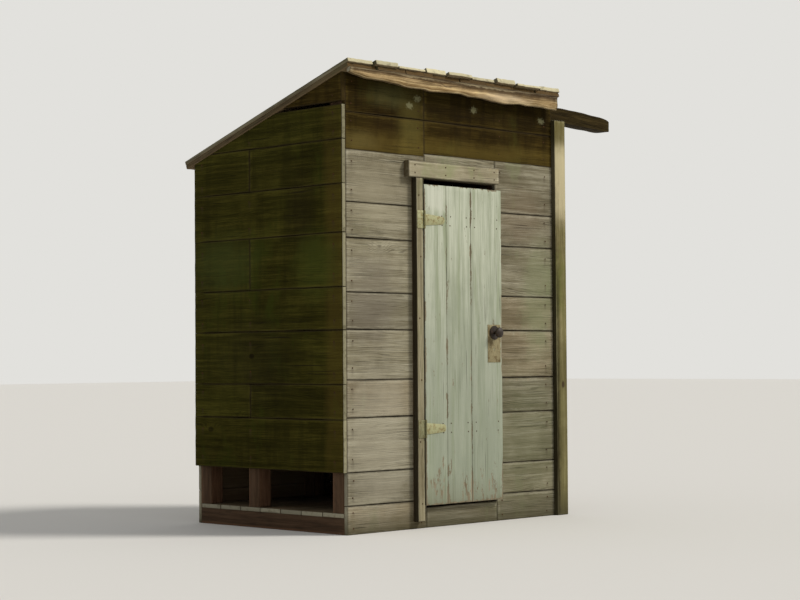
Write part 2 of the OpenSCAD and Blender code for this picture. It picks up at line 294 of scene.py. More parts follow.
    def coat(
        self, colour: Value, roughness: Value, height: Value,
        depth: float, strength: float, metallic: float = 0.0, specular: float = 0.35,
    ) -> Value:
        """Gives the surface shader of a finish.

        Args:
            colour: the base colour.
            roughness: the roughness.
            height: the bump's height, from 0 to 1.
            depth: what a height of 1 stands for, in metres.
            strength: how strongly the bump shades.
            metallic: 0 for wood and paint, up to 1 for bare metal.
            specular: the strength of the plain reflection.

        Returns:
            The shader.
        """
        feeds = {"Height": height, "Distance": depth, "Strength": strength}
        bump = self.out("ShaderNodeBump", feeds, "Normal")
        return self.out("ShaderNodeBsdfPrincipled", {
            "Base Color": colour, "Roughness": roughness, "Normal": bump,
            "Metallic": metallic, "Specular IOR Level": specular,
        })


def cleared(owner: bpy.types.Material | bpy.types.World) -> Bench:
    """Empties the nodes of a material or world.

    Args:
        owner: the material or world.

    Returns:
        The bench of its node tree.
    """
    owner.use_nodes = True
    owner.node_tree.nodes.clear()
    return Bench(owner.node_tree)


def linked(name: str, data: bpy.types.ID) -> bpy.types.Object:
    """Makes data an object of the scene.

    Args:
        name: the object's name.
        data: its mesh, camera or light.

    Returns:
        The object.
    """
    made = bpy.data.objects.new(name, data)
    bpy.context.scene.collection.objects.link(made)
    return made


def settled(obj: bpy.types.Object) -> bpy.types.Object:
    """Turns an object's modifiers into its mesh.

    Args:
        obj: the object.

    Returns:
        The same object with no modifier.
    """
    bpy.context.view_layer.update()
    graph = bpy.context.evaluated_depsgraph_get()
    mesh = bpy.data.meshes.new_from_object(obj.evaluated_get(graph), depsgraph=graph)
    old = obj.data
    obj.modifiers.clear()
    obj.data = mesh
    bpy.data.meshes.remove(old)
    return obj


def smooth(mesh: bpy.types.Mesh, angle_deg: float = 38.0) -> None:
    """Shades a mesh smooth, with sharp edges where faces meet at more than an angle.

    Args:
        mesh: the mesh.
        angle_deg: the angle.
    """
    mesh.polygons.foreach_set("use_smooth", [True] * len(mesh.polygons))
    mesh.set_sharp_from_angle(angle=math.radians(angle_deg))
    mesh.update()


def eased(obj: bpy.types.Object, width: float, segments: int = 2, angle_deg: float = 40.0) -> None:
    """Rounds the sharp edges of an object and shades it smooth.

    Args:
        obj: the object.
        width: the width of the rounding, in metres.
        segments: how many faces make the rounding.
        angle_deg: edges sharper than this are rounded.
    """
    step = obj.modifiers.new("ease", "BEVEL")
    step.width = width
    step.segments = segments
    step.limit_method = "ANGLE"
    step.angle_limit = math.radians(angle_deg)
    step.use_clamp_overlap = True
    settled(obj)
    smooth(obj.data)


class Tree:
    """The base of the geometry trees: named inputs, points to work on, real geometry and its finish."""

    def __init__(self, title: str, edge_deg: float, inputs: Sequence[tuple[str, str, float]]) -> None:
        """Makes the tree.

        Args:
            title: the tree's name.
            edge_deg: the angle past which an edge of what it makes stays sharp.
            inputs: each input's name, its socket type and its default value.
        """
        self.edge_deg = edge_deg
        self.tree = bpy.data.node_groups.new(title, "GeometryNodeTree")
        sockets = self.tree.interface
        for name, kind, value in (("Places", "Geometry", None), *inputs, ("Finish", "Material", None)):
            socket = sockets.new_socket(name, in_out="INPUT", socket_type=f"NodeSocket{kind}")
            if value is not None:
                socket.default_value = value
        sockets.new_socket("Geometry", in_out="OUTPUT", socket_type="NodeSocketGeometry")
        bench = Bench(self.tree)
        given = {v.socket.name: v for v in bench.outs("NodeGroupInput")}
        real = bench.out("GeometryNodeRealizeInstances", {"Geometry": self.recipe(bench, given)})
        done = bench.out("GeometryNodeSetMaterial", {"Geometry": real, "Material": given["Finish"]})
        bench.node("NodeGroupOutput", {"Geometry": done})

    def recipe(self, bench: Bench, given: dict[str, Value]) -> Value:
        """Places the tree's own nodes.

        Args:
            bench: the tree's bench.
            given: the inputs by name.

        Returns:
            The geometry.
        """
        raise NotImplementedError

    def grow(
        self, name: str, places: Sequence[Vector], finish: bpy.types.Material, inputs: dict[str, float],
        marks: dict[str, tuple[str, list]] | None = None,
    ) -> bpy.types.Object:
        """Runs the tree on loose points and keeps the plain mesh that it makes.

        Args:
            name: the new object's name.
            places: where the points are.
            finish: the material.
            inputs: the values of the inputs that aren't at their default.
            marks: attribute name to its data type and its value at each point.

        Returns:
            The object, with no modifier.
        """
        mesh = bpy.data.meshes.new(name)
        mesh.from_pydata([tuple(p) for p in places], [], [])
        for title, (kind, values) in (marks or {}).items():
            attribute = mesh.attributes.new(title, kind, "POINT")
            part = "vector" if kind == "FLOAT_VECTOR" else "value"
            for item, value in zip(attribute.data, values):
                setattr(item, part, value)
        made = linked(name, mesh)
        step = made.modifiers.new("grow", "NODES")
        step.node_group = self.tree
        sockets = {s.name: s.identifier for s in self.tree.interface.items_tree if s.in_out == "INPUT"}
        for title, value in {**inputs, "Finish": finish}.items():
            step[sockets[title]] = value
        return settled(made)


class BoardTree(Tree):
    """The geometry tree that turns points into boards with wandering edges, cupped faces and rough ends."""

    THROUGH = 3
    EDGE_POWER = 2.0
    END_POWER = 24.0
    GRAIN_SHIFT = (3.71, 5.33)
    SIDE_SHIFT = 4.3
    SWAY_SCALES = (2.4, 13.0)
    FINE_SWAY = 0.35
    BOW_SCALE = 0.8
    BOW_LAYER = 7.1
    CUP_SCALE = 5.0
    CUP_LAYER = 3.0
    END_SCALE = 22.0

    def __init__(self) -> None:
        """Makes the tree with its inputs."""
        super().__init__("lay_boards", 38.0, [
            ("Wander", "Float", 0.003), ("Cup", "Float", 0.0015), ("Ragged ends", "Float", 0.002),
            ("Rows along", "Int", 40), ("Rows across", "Int", 7),
        ])

    def recipe(self, bench: Bench, given: dict[str, Value]) -> Value:
        """Places the nodes: blocks on the points, moved by noise, with their grain and rim stored.

        Args:
            bench: the tree's bench.
            given: the inputs by name.

        Returns:
            The geometry.
        """
        block = bench.out("GeometryNodeMeshCube", {
            "Vertices X": given["Rows along"], "Vertices Y": given["Rows across"], "Vertices Z": self.THROUGH,
        })
        block = bench.stored(block, "unit", bench.out("GeometryNodeInputPosition"))
        span, unit = (bench.named(name, "FLOAT_VECTOR") for name in ("span", "unit"))
        seed = bench.named("seed", "FLOAT")
        rows = bench.out("GeometryNodeInstanceOnPoints", {
            "Points": given["Places"], "Instance": block, "Scale": span,
        })
        boards = bench.out("GeometryNodeRealizeInstances", {"Geometry": rows})
        ux, uy, uz = bench.split(unit)
        local = bench.vectors("MULTIPLY", unit, span)
        shift_x, shift_y = (seed * shift for shift in self.GRAIN_SHIFT)
        grain = bench.vectors("ADD", local, bench.joined(shift_x, shift_y, 0.0))
        gx, gy, _ = bench.split(grain)
        near_edge = bench.maths("POWER", abs(uy * 2.0), self.EDGE_POWER)
        near_end = bench.maths("POWER", abs(ux * 2.0), self.END_POWER)
        edge_at = bench.joined(gx, bench.maths("SIGN", uy) * self.SIDE_SHIFT + seed, 0.0)
        end_at = bench.joined(bench.maths("SIGN", ux) + seed, gy, 0.0)
        broad, fine = (bench.wander(edge_at, scale) for scale in self.SWAY_SCALES)
        sway = broad + fine * self.FINE_SWAY
        lift = bench.wander(bench.joined(gx * self.BOW_SCALE, seed, self.BOW_LAYER), 1.0)
        cup = near_edge * bench.wander(bench.joined(seed, 0.0, self.CUP_LAYER), self.CUP_SCALE)
        move = bench.joined(
            bench.wander(end_at, self.END_SCALE) * given["Ragged ends"] * near_end,
            sway * given["Wander"] * near_edge,
            (cup + lift) * given["Cup"])
        moved = bench.out("GeometryNodeSetPosition", {"Geometry": boards, "Offset": move})
        moved = bench.stored(moved, "grain", grain)
        sx, sy, _ = bench.split(span)
        return bench.stored(moved, "rim", bench.joined((0.5 - abs(ux)) * sx, (0.5 - abs(uy)) * sy, uz))


class NailTree(Tree):
    """The geometry tree that sets a domed nail head at each point."""

    def __init__(self) -> None:
        """Makes the tree with its inputs."""
        super().__init__("drive_nails", 60.0, [
            ("Head radius", "Float", 0.0045), ("Head height", "Float", 0.35), ("Tilt", "Float", 0.12),
            ("Pattern seed", "Int", 5),
        ])

    def recipe(self, bench: Bench, given: dict[str, Value]) -> Value:
        """Places the nodes: a flattened ball on each point, tilted at random.

        Args:
            bench: the tree's bench.
            given: the inputs by name.

        Returns:
            The geometry.
        """
        ball = bench.out("GeometryNodeMeshUVSphere", {
            "Segments": 10, "Rings": 5, "Radius": given["Head radius"],
        })
        return bench.out("GeometryNodeInstanceOnPoints", {
            "Points": given["Places"], "Instance": ball,
            "Rotation": bench.spun(given["Tilt"], given["Pattern seed"]),
            "Scale": bench.joined(1.0, 1.0, given["Head height"]),
        })


class ScrewTree(Tree):
    """The geometry tree that sets a slotted screw head at each point, turned at random."""

    SLOT_LENGTH = 1.7
    SLOT_RAISE = 0.55

    def __init__(self) -> None:
        """Makes the tree with its inputs."""
        super().__init__("turn_screws", 30.0, [
            ("Head radius", "Float", 0.0042), ("Head height", "Float", 0.0016),
            ("Slot width", "Float", 0.001), ("Pattern seed", "Int", 3),
        ])

    def recipe(self, bench: Bench, given: dict[str, Value]) -> Value:
        """Places the nodes: a low round head with a bar cut out of it, on each point.

        Args:
            bench: the tree's bench.
            given: the inputs by name.

        Returns:
            The geometry.
        """
        radius, height = given["Head radius"], given["Head height"]
        head = bench.out("GeometryNodeMeshCylinder", {"Vertices": 16, "Radius": radius, "Depth": height})
        size = bench.joined(radius * self.SLOT_LENGTH, given["Slot width"], height)
        raised = bench.joined(0.0, 0.0, height * self.SLOT_RAISE)
        bar = bench.out("GeometryNodeMeshCube", {"Size": size})
        bar = bench.out("GeometryNodeTransform", {"Geometry": bar, "Translation": raised})
        feeds = {"Mesh 1": head, "Mesh 2": bar}
        slotted = bench.out("GeometryNodeMeshBoolean", feeds, operation="DIFFERENCE")
        turns = bench.spun(0.0, given["Pattern seed"])
        return bench.out("GeometryNodeInstanceOnPoints", {
            "Points": given["Places"], "Instance": slotted, "Rotation": turns,
        })


@dataclass(frozen=True)
class Board:
    """One board in its plane: its centre, its length, width and thickness, and its seed."""

    centre: Vector
    span: Vector
    seed: float


@dataclass(frozen=True)
class Plane:
    """The plane that boards are laid in: along the grain, across it and outward, as a right-handed set."""

    origin: Vector
    along: Vector
    across: Vector

    @property
    def matrix(self) -> Matrix:
        """Takes the plane's own coordinates to the frame's."""
        turn = Matrix((self.along, self.across, self.along.cross(self.across))).transposed().to_4x4()
        return Matrix.Translation(self.origin) @ turn

    def board(self, low: Vector, high: Vector, seed: float) -> Board:
        """Makes the board that fills a box of the frame.

        Args:
            low: the box's lowest corner.
            high: the box's highest corner.
            seed: what makes this board's pattern its own.

        Returns:
            The board in the plane's own coordinates.
        """
        inverse = self.matrix.inverted()
        centre = inverse @ ((low + high) / 2)
        span = inverse.to_3x3() @ (high - low)
        return Board(centre, Vector([abs(c) for c in span]), seed)


@dataclass(frozen=True)
class Sawing:
    """How true boards are, in metres.

    Args:
        wander: how far their edges wander.
        cup: how far their faces cup and lift.
        ragged: how far their ends are out of true.
        ease: the width of their rounded edges.
        rows: how many rows of points each has along and across its grain.
    """

    wander: float = 0.003
    cup: float = 0.0015
    ragged: float = 0.002
    ease: float = 0.003
    rows: tuple[int, int] = (40, 7)


RIGHT = Vector((1, 0, 0))
BACK = Vector((0, 1, 0))
UP = Vector((0, 0, 1))
ORIGIN = Vector((0, 0, 0))
FRONT_FACE = Plane(ORIGIN, RIGHT, UP)
LEFT_FACE = Plane(ORIGIN, -BACK, UP)
RIGHT_FACE = Plane(ORIGIN, BACK, UP)
BACK_FACE = Plane(ORIGIN, -RIGHT, UP)
FLOOR_FACE = Plane(ORIGIN, RIGHT, BACK)
UPRIGHT_FRONT = Plane(ORIGIN, UP, -RIGHT)
DEPTH_TOP = Plane(ORIGIN, BACK, -RIGHT)


class PatchShape(Enum):
    """How a patch of another colour is bounded."""

    BOX = "box"
    OVAL = "oval"


@dataclass(frozen=True)
class Patch:
    """A soft-edged patch of another colour on a wall.

    Args:
        middle: the patch's middle, as the place along the wall and the height, in metres.
        reach: half its width and half its height, in metres.
        colour: its screen colour.
        share: how strongly it covers, up to 1.
        soft: how soft its edge is, as a share of its reach.
        shape: how it is bounded.
        axis: the coordinate that runs along the wall.
        grain: how fine the roughness of its edge is, in features per metre.
        ragged: how rough its edge is, as a multiple of its softness.
    """

    middle: Pair
    reach: Pair
    colour: Colour
    share: float
    soft: float
    shape: PatchShape = PatchShape.BOX
    axis: Axis = Axis.X
    grain: float = 14.0
    ragged: float = 1.6

    def over(self, bench: Bench, place: Value, colour: Value) -> Value:
        """Lays this patch over a colour.

        Args:
            bench: the material's bench.
            place: the place on the object.
            colour: the colour under it.

        Returns:
            The colour with the patch.
        """
        parts = bench.split(place)
        along = abs(parts[self.axis.value] - self.middle[0]) / self.reach[0]
        upward = abs(parts[2] - self.middle[1]) / self.reach[1]
        if self.shape is PatchShape.BOX:
            away = along.most(upward)
        else:
            away = bench.maths("SQRT", along * along + upward * upward)
        uneven = self.soft * self.ragged
        away = away + (bench.noise(place, self.grain) * uneven - uneven / 2)
        mask = bench.step(away, 1.0 + self.soft, 1.0 - self.soft, 0.0, self.share)
        return bench.mixed(mask, colour, self.colour)


class Grain:
    """The patterns of sawn wood, worked out from the board's own grain coordinates."""

    STREAKS = ((1.7, 46.0, 46.0), (5.0, 210.0, 210.0), (14.0, 700.0, 700.0))
    STREAK_SHARES = (0.52, 0.36, 0.34)
    FIBRE_ZERO = 0.32
    KNOT_CELLS = (4.2, 6.4, 3.0)
    KNOT_EDGE = (0.13, 0.07)
    KNOT_REACH = 0.45
    RINGS_PER_METRE = 104.0
    RING_BEND = 3.6
    RING_DRIFT = 13.0
    RING_UNEVEN = 3.4
    CHECK_WIDTH = (0.325, 0.295)
    HAIR_WIDTH = (0.335, 0.300)
    HAIR_SHARE = 0.65

    def __init__(self, bench: Bench, knots: float, crack: float) -> None:
        """Places the patterns' nodes.

        Args:
            bench: the material's bench.
            knots: the share of places that hold a knot.
            crack: how many drying cracks there are, from 0 to 1.
        """
        grain = bench.attribute("grain")
        self.place = bench.place()
        self.rim = bench.attribute("rim")
        self.tint = bench.out(
            "ShaderNodeTexWhiteNoise", {"W": bench.attribute("seed", "Fac")}, 0, noise_dimensions="1D")
        wide, fine, fibre = (
            bench.noise(grain, scale, detail, rough)
            for scale, detail, rough in zip(self.STREAKS, (3.0, 3.0, 2.0), (0.6, 0.7, 0.6)))
        broad, narrow, thin = self.STREAK_SHARES
        self.streak = wide * broad + fine * narrow + (fibre - self.FIBRE_ZERO) * thin
        to_knot, lot = bench.outs("ShaderNodeTexVoronoi", {
            "Vector": bench.vectors("MULTIPLY", grain, self.KNOT_CELLS), "Scale": 1.0, "Randomness": 1.0,
        }, voronoi_dimensions="3D", feature="F1")[:2]
        chosen = bench.step(bench.split(lot)[0], 0.98 - knots, 1.02 - knots)
        self.knot = bench.step(to_knot, *self.KNOT_EDGE) * chosen
        bend = bench.step(to_knot, self.KNOT_REACH, 0.0) * (chosen * self.RING_BEND)
        drift = bench.noise(grain, (1.0, 4.5, 4.5), 1.0) * self.RING_DRIFT
        uneven = bench.noise(grain, (0.7, 26.0, 26.0), 2.0) * self.RING_UNEVEN
        phase = bench.split(grain)[1] * self.RINGS_PER_METRE + uneven + (drift + bend)
        wave = bench.maths("SINE", phase * math.tau)
        faint = bench.step(bench.noise(grain, (2.6, 22.0, 22.0), 3.0), 0.34, 0.62, 0.15, 1.0)
        self.rings = 1.0 - bench.step(wave, 0.1, 0.95) * faint
        check = bench.step(bench.noise(grain, (2.4, 130.0, 130.0), 1.5, 0.45), *self.CHECK_WIDTH)
        sparse = bench.step(bench.noise(grain, (1.6, 6.0, 6.0), 2.0), 0.60 - 0.2 * crack, 0.70)
        hair = bench.step(bench.noise(grain, (3.2, 360.0, 360.0), 1.0, 0.4), *self.HAIR_WIDTH)
        often = bench.step(bench.noise(grain, (2.3, 9.0, 9.0), 2.0), 0.58 - 0.2 * crack, 0.66)
        self.crack = (check * sparse).most(hair * (often * self.HAIR_SHARE))


@dataclass(frozen=True)
class Finish:
    """The base of every finish.

    Args:
        name: the material's name.
    """

    name: str

    def build(self) -> bpy.types.Material:
        """Builds the material.

        Returns:
            The material.
        """
        made = bpy.data.materials.new(self.name)
        bench = cleared(made)
        bench.node("ShaderNodeOutputMaterial", {"Surface": self.surface(bench)})
        return made

    def surface(self, bench: Bench) -> Value:
        """Works out the surface on the material's bench and gives its shader."""
        raise NotImplementedError


@dataclass(frozen=True)
class Wood(Finish):
    """Bare weathered wood. Its colours are screen colours, and its shares run from 0 to 1."""

    dark: Colour
    mid: Colour
    pale: Colour
    knot: Colour = (58, 44, 30)
    warm: Colour = (142, 116, 92)
    warmth: float = 0.25
    blotch: float = 0.5
    blotch_tone: Colour = (168, 158, 138)
    algae: Colour = (84, 88, 48)
    algae_share: float = 0.12
    inside: Colour = (104, 82, 58)
    knots: float = 0.16
    cracks: float = 0.5
    crack: Colour = (26, 20, 14)
    end: Colour = (150, 145, 124)
    contrast: float = 1.0
    wear: float = 0.35
    dirt_and_shade_width: float = 0.008
    dirt_and_shade_share: float = 0.6
    dirt_and_shade: Colour = (48, 40, 28)
    splash: Colour = (62, 58, 38)
    splash_height: float = 0.0
    runs: float = 0.0
    nail_axis: Axis = Axis.X
    nail_lines: tuple[float, ...] = ()
    nail_stain: Colour = (66, 54, 40)
    patches: tuple[Patch, ...] = ()
    bump: float = 0.0016
    rough: float = 0.82
    specular: float = 0.12

    MID_STREAK = 0.48
    MARK_COVER = 0.85
    SPLASH_COVER = 0.75
    STAIN_WIDTH = 0.016
    STAIN_WOBBLE = 0.02
    STAIN_SHARE = 0.38

    def surface(self, bench: Bench) -> Value:
        """Works out the surface, from the bare grain to the stains, dirt and marks over it.

        Args:
            bench: the material's bench.

        Returns:
            The surface shader.
        """
        look = Grain(bench, self.knots, self.cracks)
        spread = 0.18 / self.contrast
        middling = self.MID_STREAK
        stops = [(middling - spread, self.dark), (middling, self.mid), (middling + spread, self.pale)]
        colour = bench.ramp(look.streak, stops)
        colour = bench.dimmed(colour, bench.step(look.rings, 0.0, 1.0, 1.0 - 0.40 * self.contrast, 1.05))
        slow = bench.noise(look.place, (2.1, 2.1, 3.4), 5.0, 0.65)
        deep = bench.mixed(1.0, colour, self.blotch_tone, "MULTIPLY")
        colour = bench.mixed(bench.step(slow, 0.42, 0.62) * self.blotch, colour, deep)
        bleach = bench.step(bench.noise(look.place, (3.3, 3.3, 5.0)), 0.55, 0.70)
        colour = bench.mixed(bleach * (0.45 * self.blotch), colour, self.pale)
        warm = bench.step(look.tint, 1.0 - self.warmth, 1.05 - self.warmth)
        colour = bench.mixed(warm * 0.7, colour, bench.mixed(0.5, colour, self.warm, "OVERLAY"))
        colour = bench.dimmed(colour, bench.step(look.tint, 0.0, 1.0, 0.80, 1.16))
        green = bench.noise(look.place, (4.0, 4.0, 2.0), 5.0, 0.7)
        green = bench.step(green, 0.62 - 0.3 * self.algae_share, 0.78 - 0.2 * self.algae_share)
        colour = bench.mixed(green * min(1.0, 0.4 + self.algae_share), colour, self.algae)
        if self.runs > 0:
            wet = bench.step(bench.noise(look.place, (15.0, 15.0, 1.3)), 0.46, 0.66)
            colour = bench.mixed(wet * self.runs, colour, self.dark)
        for patch in self.patches:
            colour = patch.over(bench, look.place, colour)
        colour = self._nail_marks(bench, look, colour)
        colour = bench.mixed(look.knot * self.MARK_COVER, colour, self.knot)
        colour = bench.mixed(look.crack * self.MARK_COVER, colour, self.crack)
        colour = self._rim_dirt_and_shade(bench, look, colour)
        if self.splash_height > 0:
            height = bench.split(look.place)[2] + slow * 0.16
            wet = bench.step(height, self.splash_height + 0.08, 0.06)
            colour = bench.mixed(wet * self.SPLASH_COVER, colour, self.splash)
        relief = look.streak * 0.55 + look.rings * 0.28 - look.crack * 1.4 + look.knot * 0.3
        roughness = bench.step(look.streak, 0.2, 0.8, self.rough + 0.08, self.rough - 0.06)
        return bench.coat(colour, roughness, relief, self.bump, 0.8, specular=self.specular)

    def _nail_marks(self, bench: Bench, look: Grain, colour: Value) -> Value:
        """Darkens the wood in a short run under each nail.

        Args:
            bench: the material's bench.
            look: the wood's patterns.
            colour: the colour so far.

        Returns:
            The new colour.
        """
        if not self.nail_lines:
            return colour
        along = bench.split(look.place)[self.nail_axis.value]
        along = along + (bench.noise(look.place, (50.0, 50.0, 14.0), 3.0) - 0.5) * self.STAIN_WOBBLE
        total = sum(bench.step(abs(along - line), self.STAIN_WIDTH, 0.0) for line in self.nail_lines)
        across = bench.split(bench.attribute("unit"))[1]
        turns = (across - NAIL_SHARE) / (2 * NAIL_SHARE)
        under = bench.step(bench.maths("FRACT", turns), 0.62, 1.0)
        mask = bench.maths("MULTIPLY", total * under, self.STAIN_SHARE, clamp=True)
        return bench.mixed(mask, colour, self.nail_stain)

    def _rim_dirt_and_shade(self, bench: Bench, look: Grain, colour: Value) -> Value:
        """Darkens the edges and ends with dirt, which on the casing and the outer post is painted shade on
        their side faces, and browns the side that faces the room.

        Args:
            bench: the material's bench.
            look: the wood's patterns.
            colour: the colour so far.

        Returns:
            The new colour.
        """
        to_end, to_edge, through = bench.split(look.rim)
        wobble = bench.noise(look.place, (30.0, 30.0, 30.0), 2.0) * 1.2
        share = to_edge.least(to_end * 0.7) / (wobble * self.dirt_and_shade_width + 0.002)
        worn = bench.step(share, 3.0, 1.4) * bench.step(look.streak, 0.42, 0.60, 0.0, self.wear)
        colour = bench.mixed(worn, colour, self.pale)
        colour = bench.mixed(bench.step(share, 1.2, 0.1, 0.0, self.dirt_and_shade_share), colour, self.dirt_and_shade)
        cut = bench.attribute("cut", "Fac") * bench.step(wobble, 0.35, 0.60, 0.55, 0.95)
        colour = bench.mixed(cut, colour, bench.dimmed(self.end, bench.step(look.tint, 0.0, 1.0, 0.74, 1.08)))
        brown = bench.mixed(0.75, colour, self.inside)
        return bench.mixed(bench.step(through, *ROOM_SIDE), colour, brown)


@dataclass(frozen=True)
class DoorPaint(Finish):
    """Worn pale paint over boards, with chips, algae streaks and dirt at the foot."""

    paint: Colour = (188, 192, 171)
    shade: Colour = (152, 158, 134)
    drab: Colour = (134, 141, 120)
    bare: tuple[Colour, Colour, Colour] = ((78, 66, 48), (124, 114, 90), (158, 148, 126))
    algae: Colour = (126, 136, 100)
    dirt_and_shade: Colour = (104, 100, 72)
    split: Colour = (58, 52, 38)
    rim: Colour = (84, 80, 58)
    foot: float = 0.128
    hand: Pair = (0.31, 1.05)
    worn_off: Pair = (0.655, 0.675)
    patches: tuple[Patch, ...] = (
        Patch((-0.185, 1.845), (0.075, 0.062), (204, 205, 188), 0.55, 0.40),
        Patch((0.05, 0.45), (0.5, 0.80), (124, 131, 114), 0.36, 0.6),
    )

    def surface(self, bench: Bench) -> Value:
        """Works out the surface: the brushed paint, its stains, and where it has worn off.

        Args:
            bench: the material's bench.

        Returns:
            The surface shader.
        """
        look = Grain(bench, 0.06, 0.8)
        x, _, z = bench.split(look.place)
        to_end, to_edge, through = bench.split(look.rim)
        brush = bench.noise(look.place, (420.0, 420.0, 9.0), 3.0, 0.7)
        streaky = bench.noise(look.place, (34.0, 34.0, 2.2), 5.0, 0.65) + (brush - 0.5) * 0.35
        slow = bench.noise(look.place, (3.0, 3.0, 1.6))
        colour = bench.mixed(bench.step(streaky, 0.32, 0.72), self.paint, self.shade)
        drab = bench.step(z, 1.75, 0.10) * bench.step(slow, 0.25, 0.60, 0.45, 1.0)
        colour = bench.mixed(drab * 0.75, colour, self.drab)
        runs = bench.step(bench.noise(look.place, (22.0, 22.0, 1.1)), 0.52, 0.68)
        colour = bench.mixed(runs * 0.55, colour, self.algae)
        grime = bench.step(z + slow * 0.25, self.foot + 0.30, self.foot + 0.05)
        colour = bench.mixed(grime * 0.7, colour, self.dirt_and_shade)
        worn = bench.noise(look.place, (26.0, 26.0, 7.0), 6.0, 0.7)
        worn = worn + bench.step(to_edge.least(to_end), 0.014, 0.0, 0.0, 0.16)
        dx, dz = x - self.hand[0], z - self.hand[1]
        by_hand = bench.step(dx * dx + dz * dz, 0.03, 0.0, 0.0, 0.09)
        worn = worn + (bench.step(z, self.foot + 0.45, self.foot, 0.0, 0.11) + by_hand)
        for patch in self.patches:
            colour = patch.over(bench, look.place, colour)
        chips = bench.step(worn, *self.worn_off).most(bench.step(through, *ROOM_SIDE))
        colour = bench.mixed(chips, colour, bench.ramp(look.streak, list(zip((0.3, 0.5, 0.7), self.bare))))
        colour = bench.mixed(look.crack * 0.8, colour, self.split)
        colour = bench.mixed(bench.step(to_edge, 0.004, 0.0005, 0.0, 0.32), colour, self.rim)
        relief = look.streak * 0.3 + brush * 0.25 - chips * 0.5 - look.crack
        return bench.coat(colour, chips * 0.25 + 0.60, relief, 0.0014, 0.7)


@dataclass(frozen=True)
class Iron(Finish):
    """Old metal with a coat of rust or tarnish in patches."""

    base: Colour
    rust: Colour
    dark: Colour
    rust_share: float = 0.5
    metallic: float = 0.3
    rough: float = 0.6
    grain: float = 60.0
    shine: float = 0.5
    patches: tuple[Patch, ...] = ()

    def surface(self, bench: Bench) -> Value:
        """Works out the surface: rust in patches, with a finer dark coat over it.

        Args:
            bench: the material's bench.

        Returns:
            The surface shader.
        """
        place = bench.place()
        slow = bench.noise(place, self.grain, 5.0, 0.65)
        fine = bench.noise(place, self.grain * 5, 4.0, 0.7)
        rusty = bench.step(slow, 0.62 - 0.3 * self.rust_share, 0.72 - 0.2 * self.rust_share)
        colour = bench.mixed(rusty, self.base, self.rust)
        colour = bench.mixed(bench.step(fine, 0.52, 0.72, 0.0, 0.7), colour, self.dark)
        for patch in self.patches:
            colour = patch.over(bench, place, colour)
        roughness = bench.step(slow, 0.3, 0.7, self.rough - 0.12, self.rough + 0.2)
        return bench.coat(colour, roughness, slow + fine * 0.5, 0.0004, 0.6, self.metallic, self.shine)


GREY = Wood(
    "grey_boards", dark=(94, 86, 64), mid=(131, 124, 101), pale=(171, 165, 143), contrast=0.85, blotch=0.4,
    algae=(118, 120, 88), algae_share=0.25, splash_height=0.16,
)
GREY_FRONT = replace(
    GREY, name="grey_front_boards",
    patches=(
        Patch((0.74, 1.30), (0.13, 0.34), (126, 132, 98), 0.45, 0.5, PatchShape.OVAL),
        Patch((0.60, 1.78), (0.18, 0.16), (110, 92, 72), 0.40, 0.5, PatchShape.OVAL),
        Patch((-0.62, 0.50), (0.26, 0.42), (172, 166, 147), 0.42, 0.6, PatchShape.OVAL),
        Patch((-0.66, 1.28), (0.18, 0.24), (110, 102, 92), 0.45, 0.6, PatchShape.OVAL),
        Patch((-0.62, 1.84), (0.22, 0.18), (160, 152, 128), 0.45, 0.7, PatchShape.OVAL),
        Patch((0.62, 0.45), (0.34, 0.36), (92, 96, 68), 0.50, 0.7, PatchShape.OVAL),
    ),
)
# The left wall's dark olive is partly the boards' own weathered, algae-grown colour and partly painted shade.
OLIVE = Wood(
    "olive_boards", dark=(32, 30, 7), mid=(55, 53, 15), pale=(84, 79, 30), knot=(24, 19, 6),
    warm=(84, 64, 28), algae=(50, 56, 14), algae_share=0.35, blotch=0.5, inside=(84, 68, 46),
    contrast=0.8, end=(148, 143, 116), specular=0.03, runs=0.35,
    patches=(
        Patch((-0.57, 1.30), (0.075, 0.95), (86, 71, 30), 0.40, 0.5, axis=Axis.Y),
        Patch((-0.29, 1.78), (0.10, 0.17), (28, 22, 10), 0.45, 0.6, PatchShape.OVAL, Axis.Y),
        Patch((-0.42, 1.47), (0.15, 0.16), (66, 74, 27), 0.50, 0.7, PatchShape.OVAL, Axis.Y),
        Patch((0.36, 1.50), (0.24, 0.14), (68, 76, 36), 0.45, 0.7, PatchShape.OVAL, Axis.Y),
        Patch((0.10, 0.95), (0.30, 0.20), (32, 28, 14), 0.40, 0.7, PatchShape.OVAL, Axis.Y),
    ),
)
# Where small pale spots stand on the band.
PALE_SPOT_PLACES = ((-0.353, 2.362), (-0.288, 2.408), (0.180, 2.386), (0.781, 2.372))
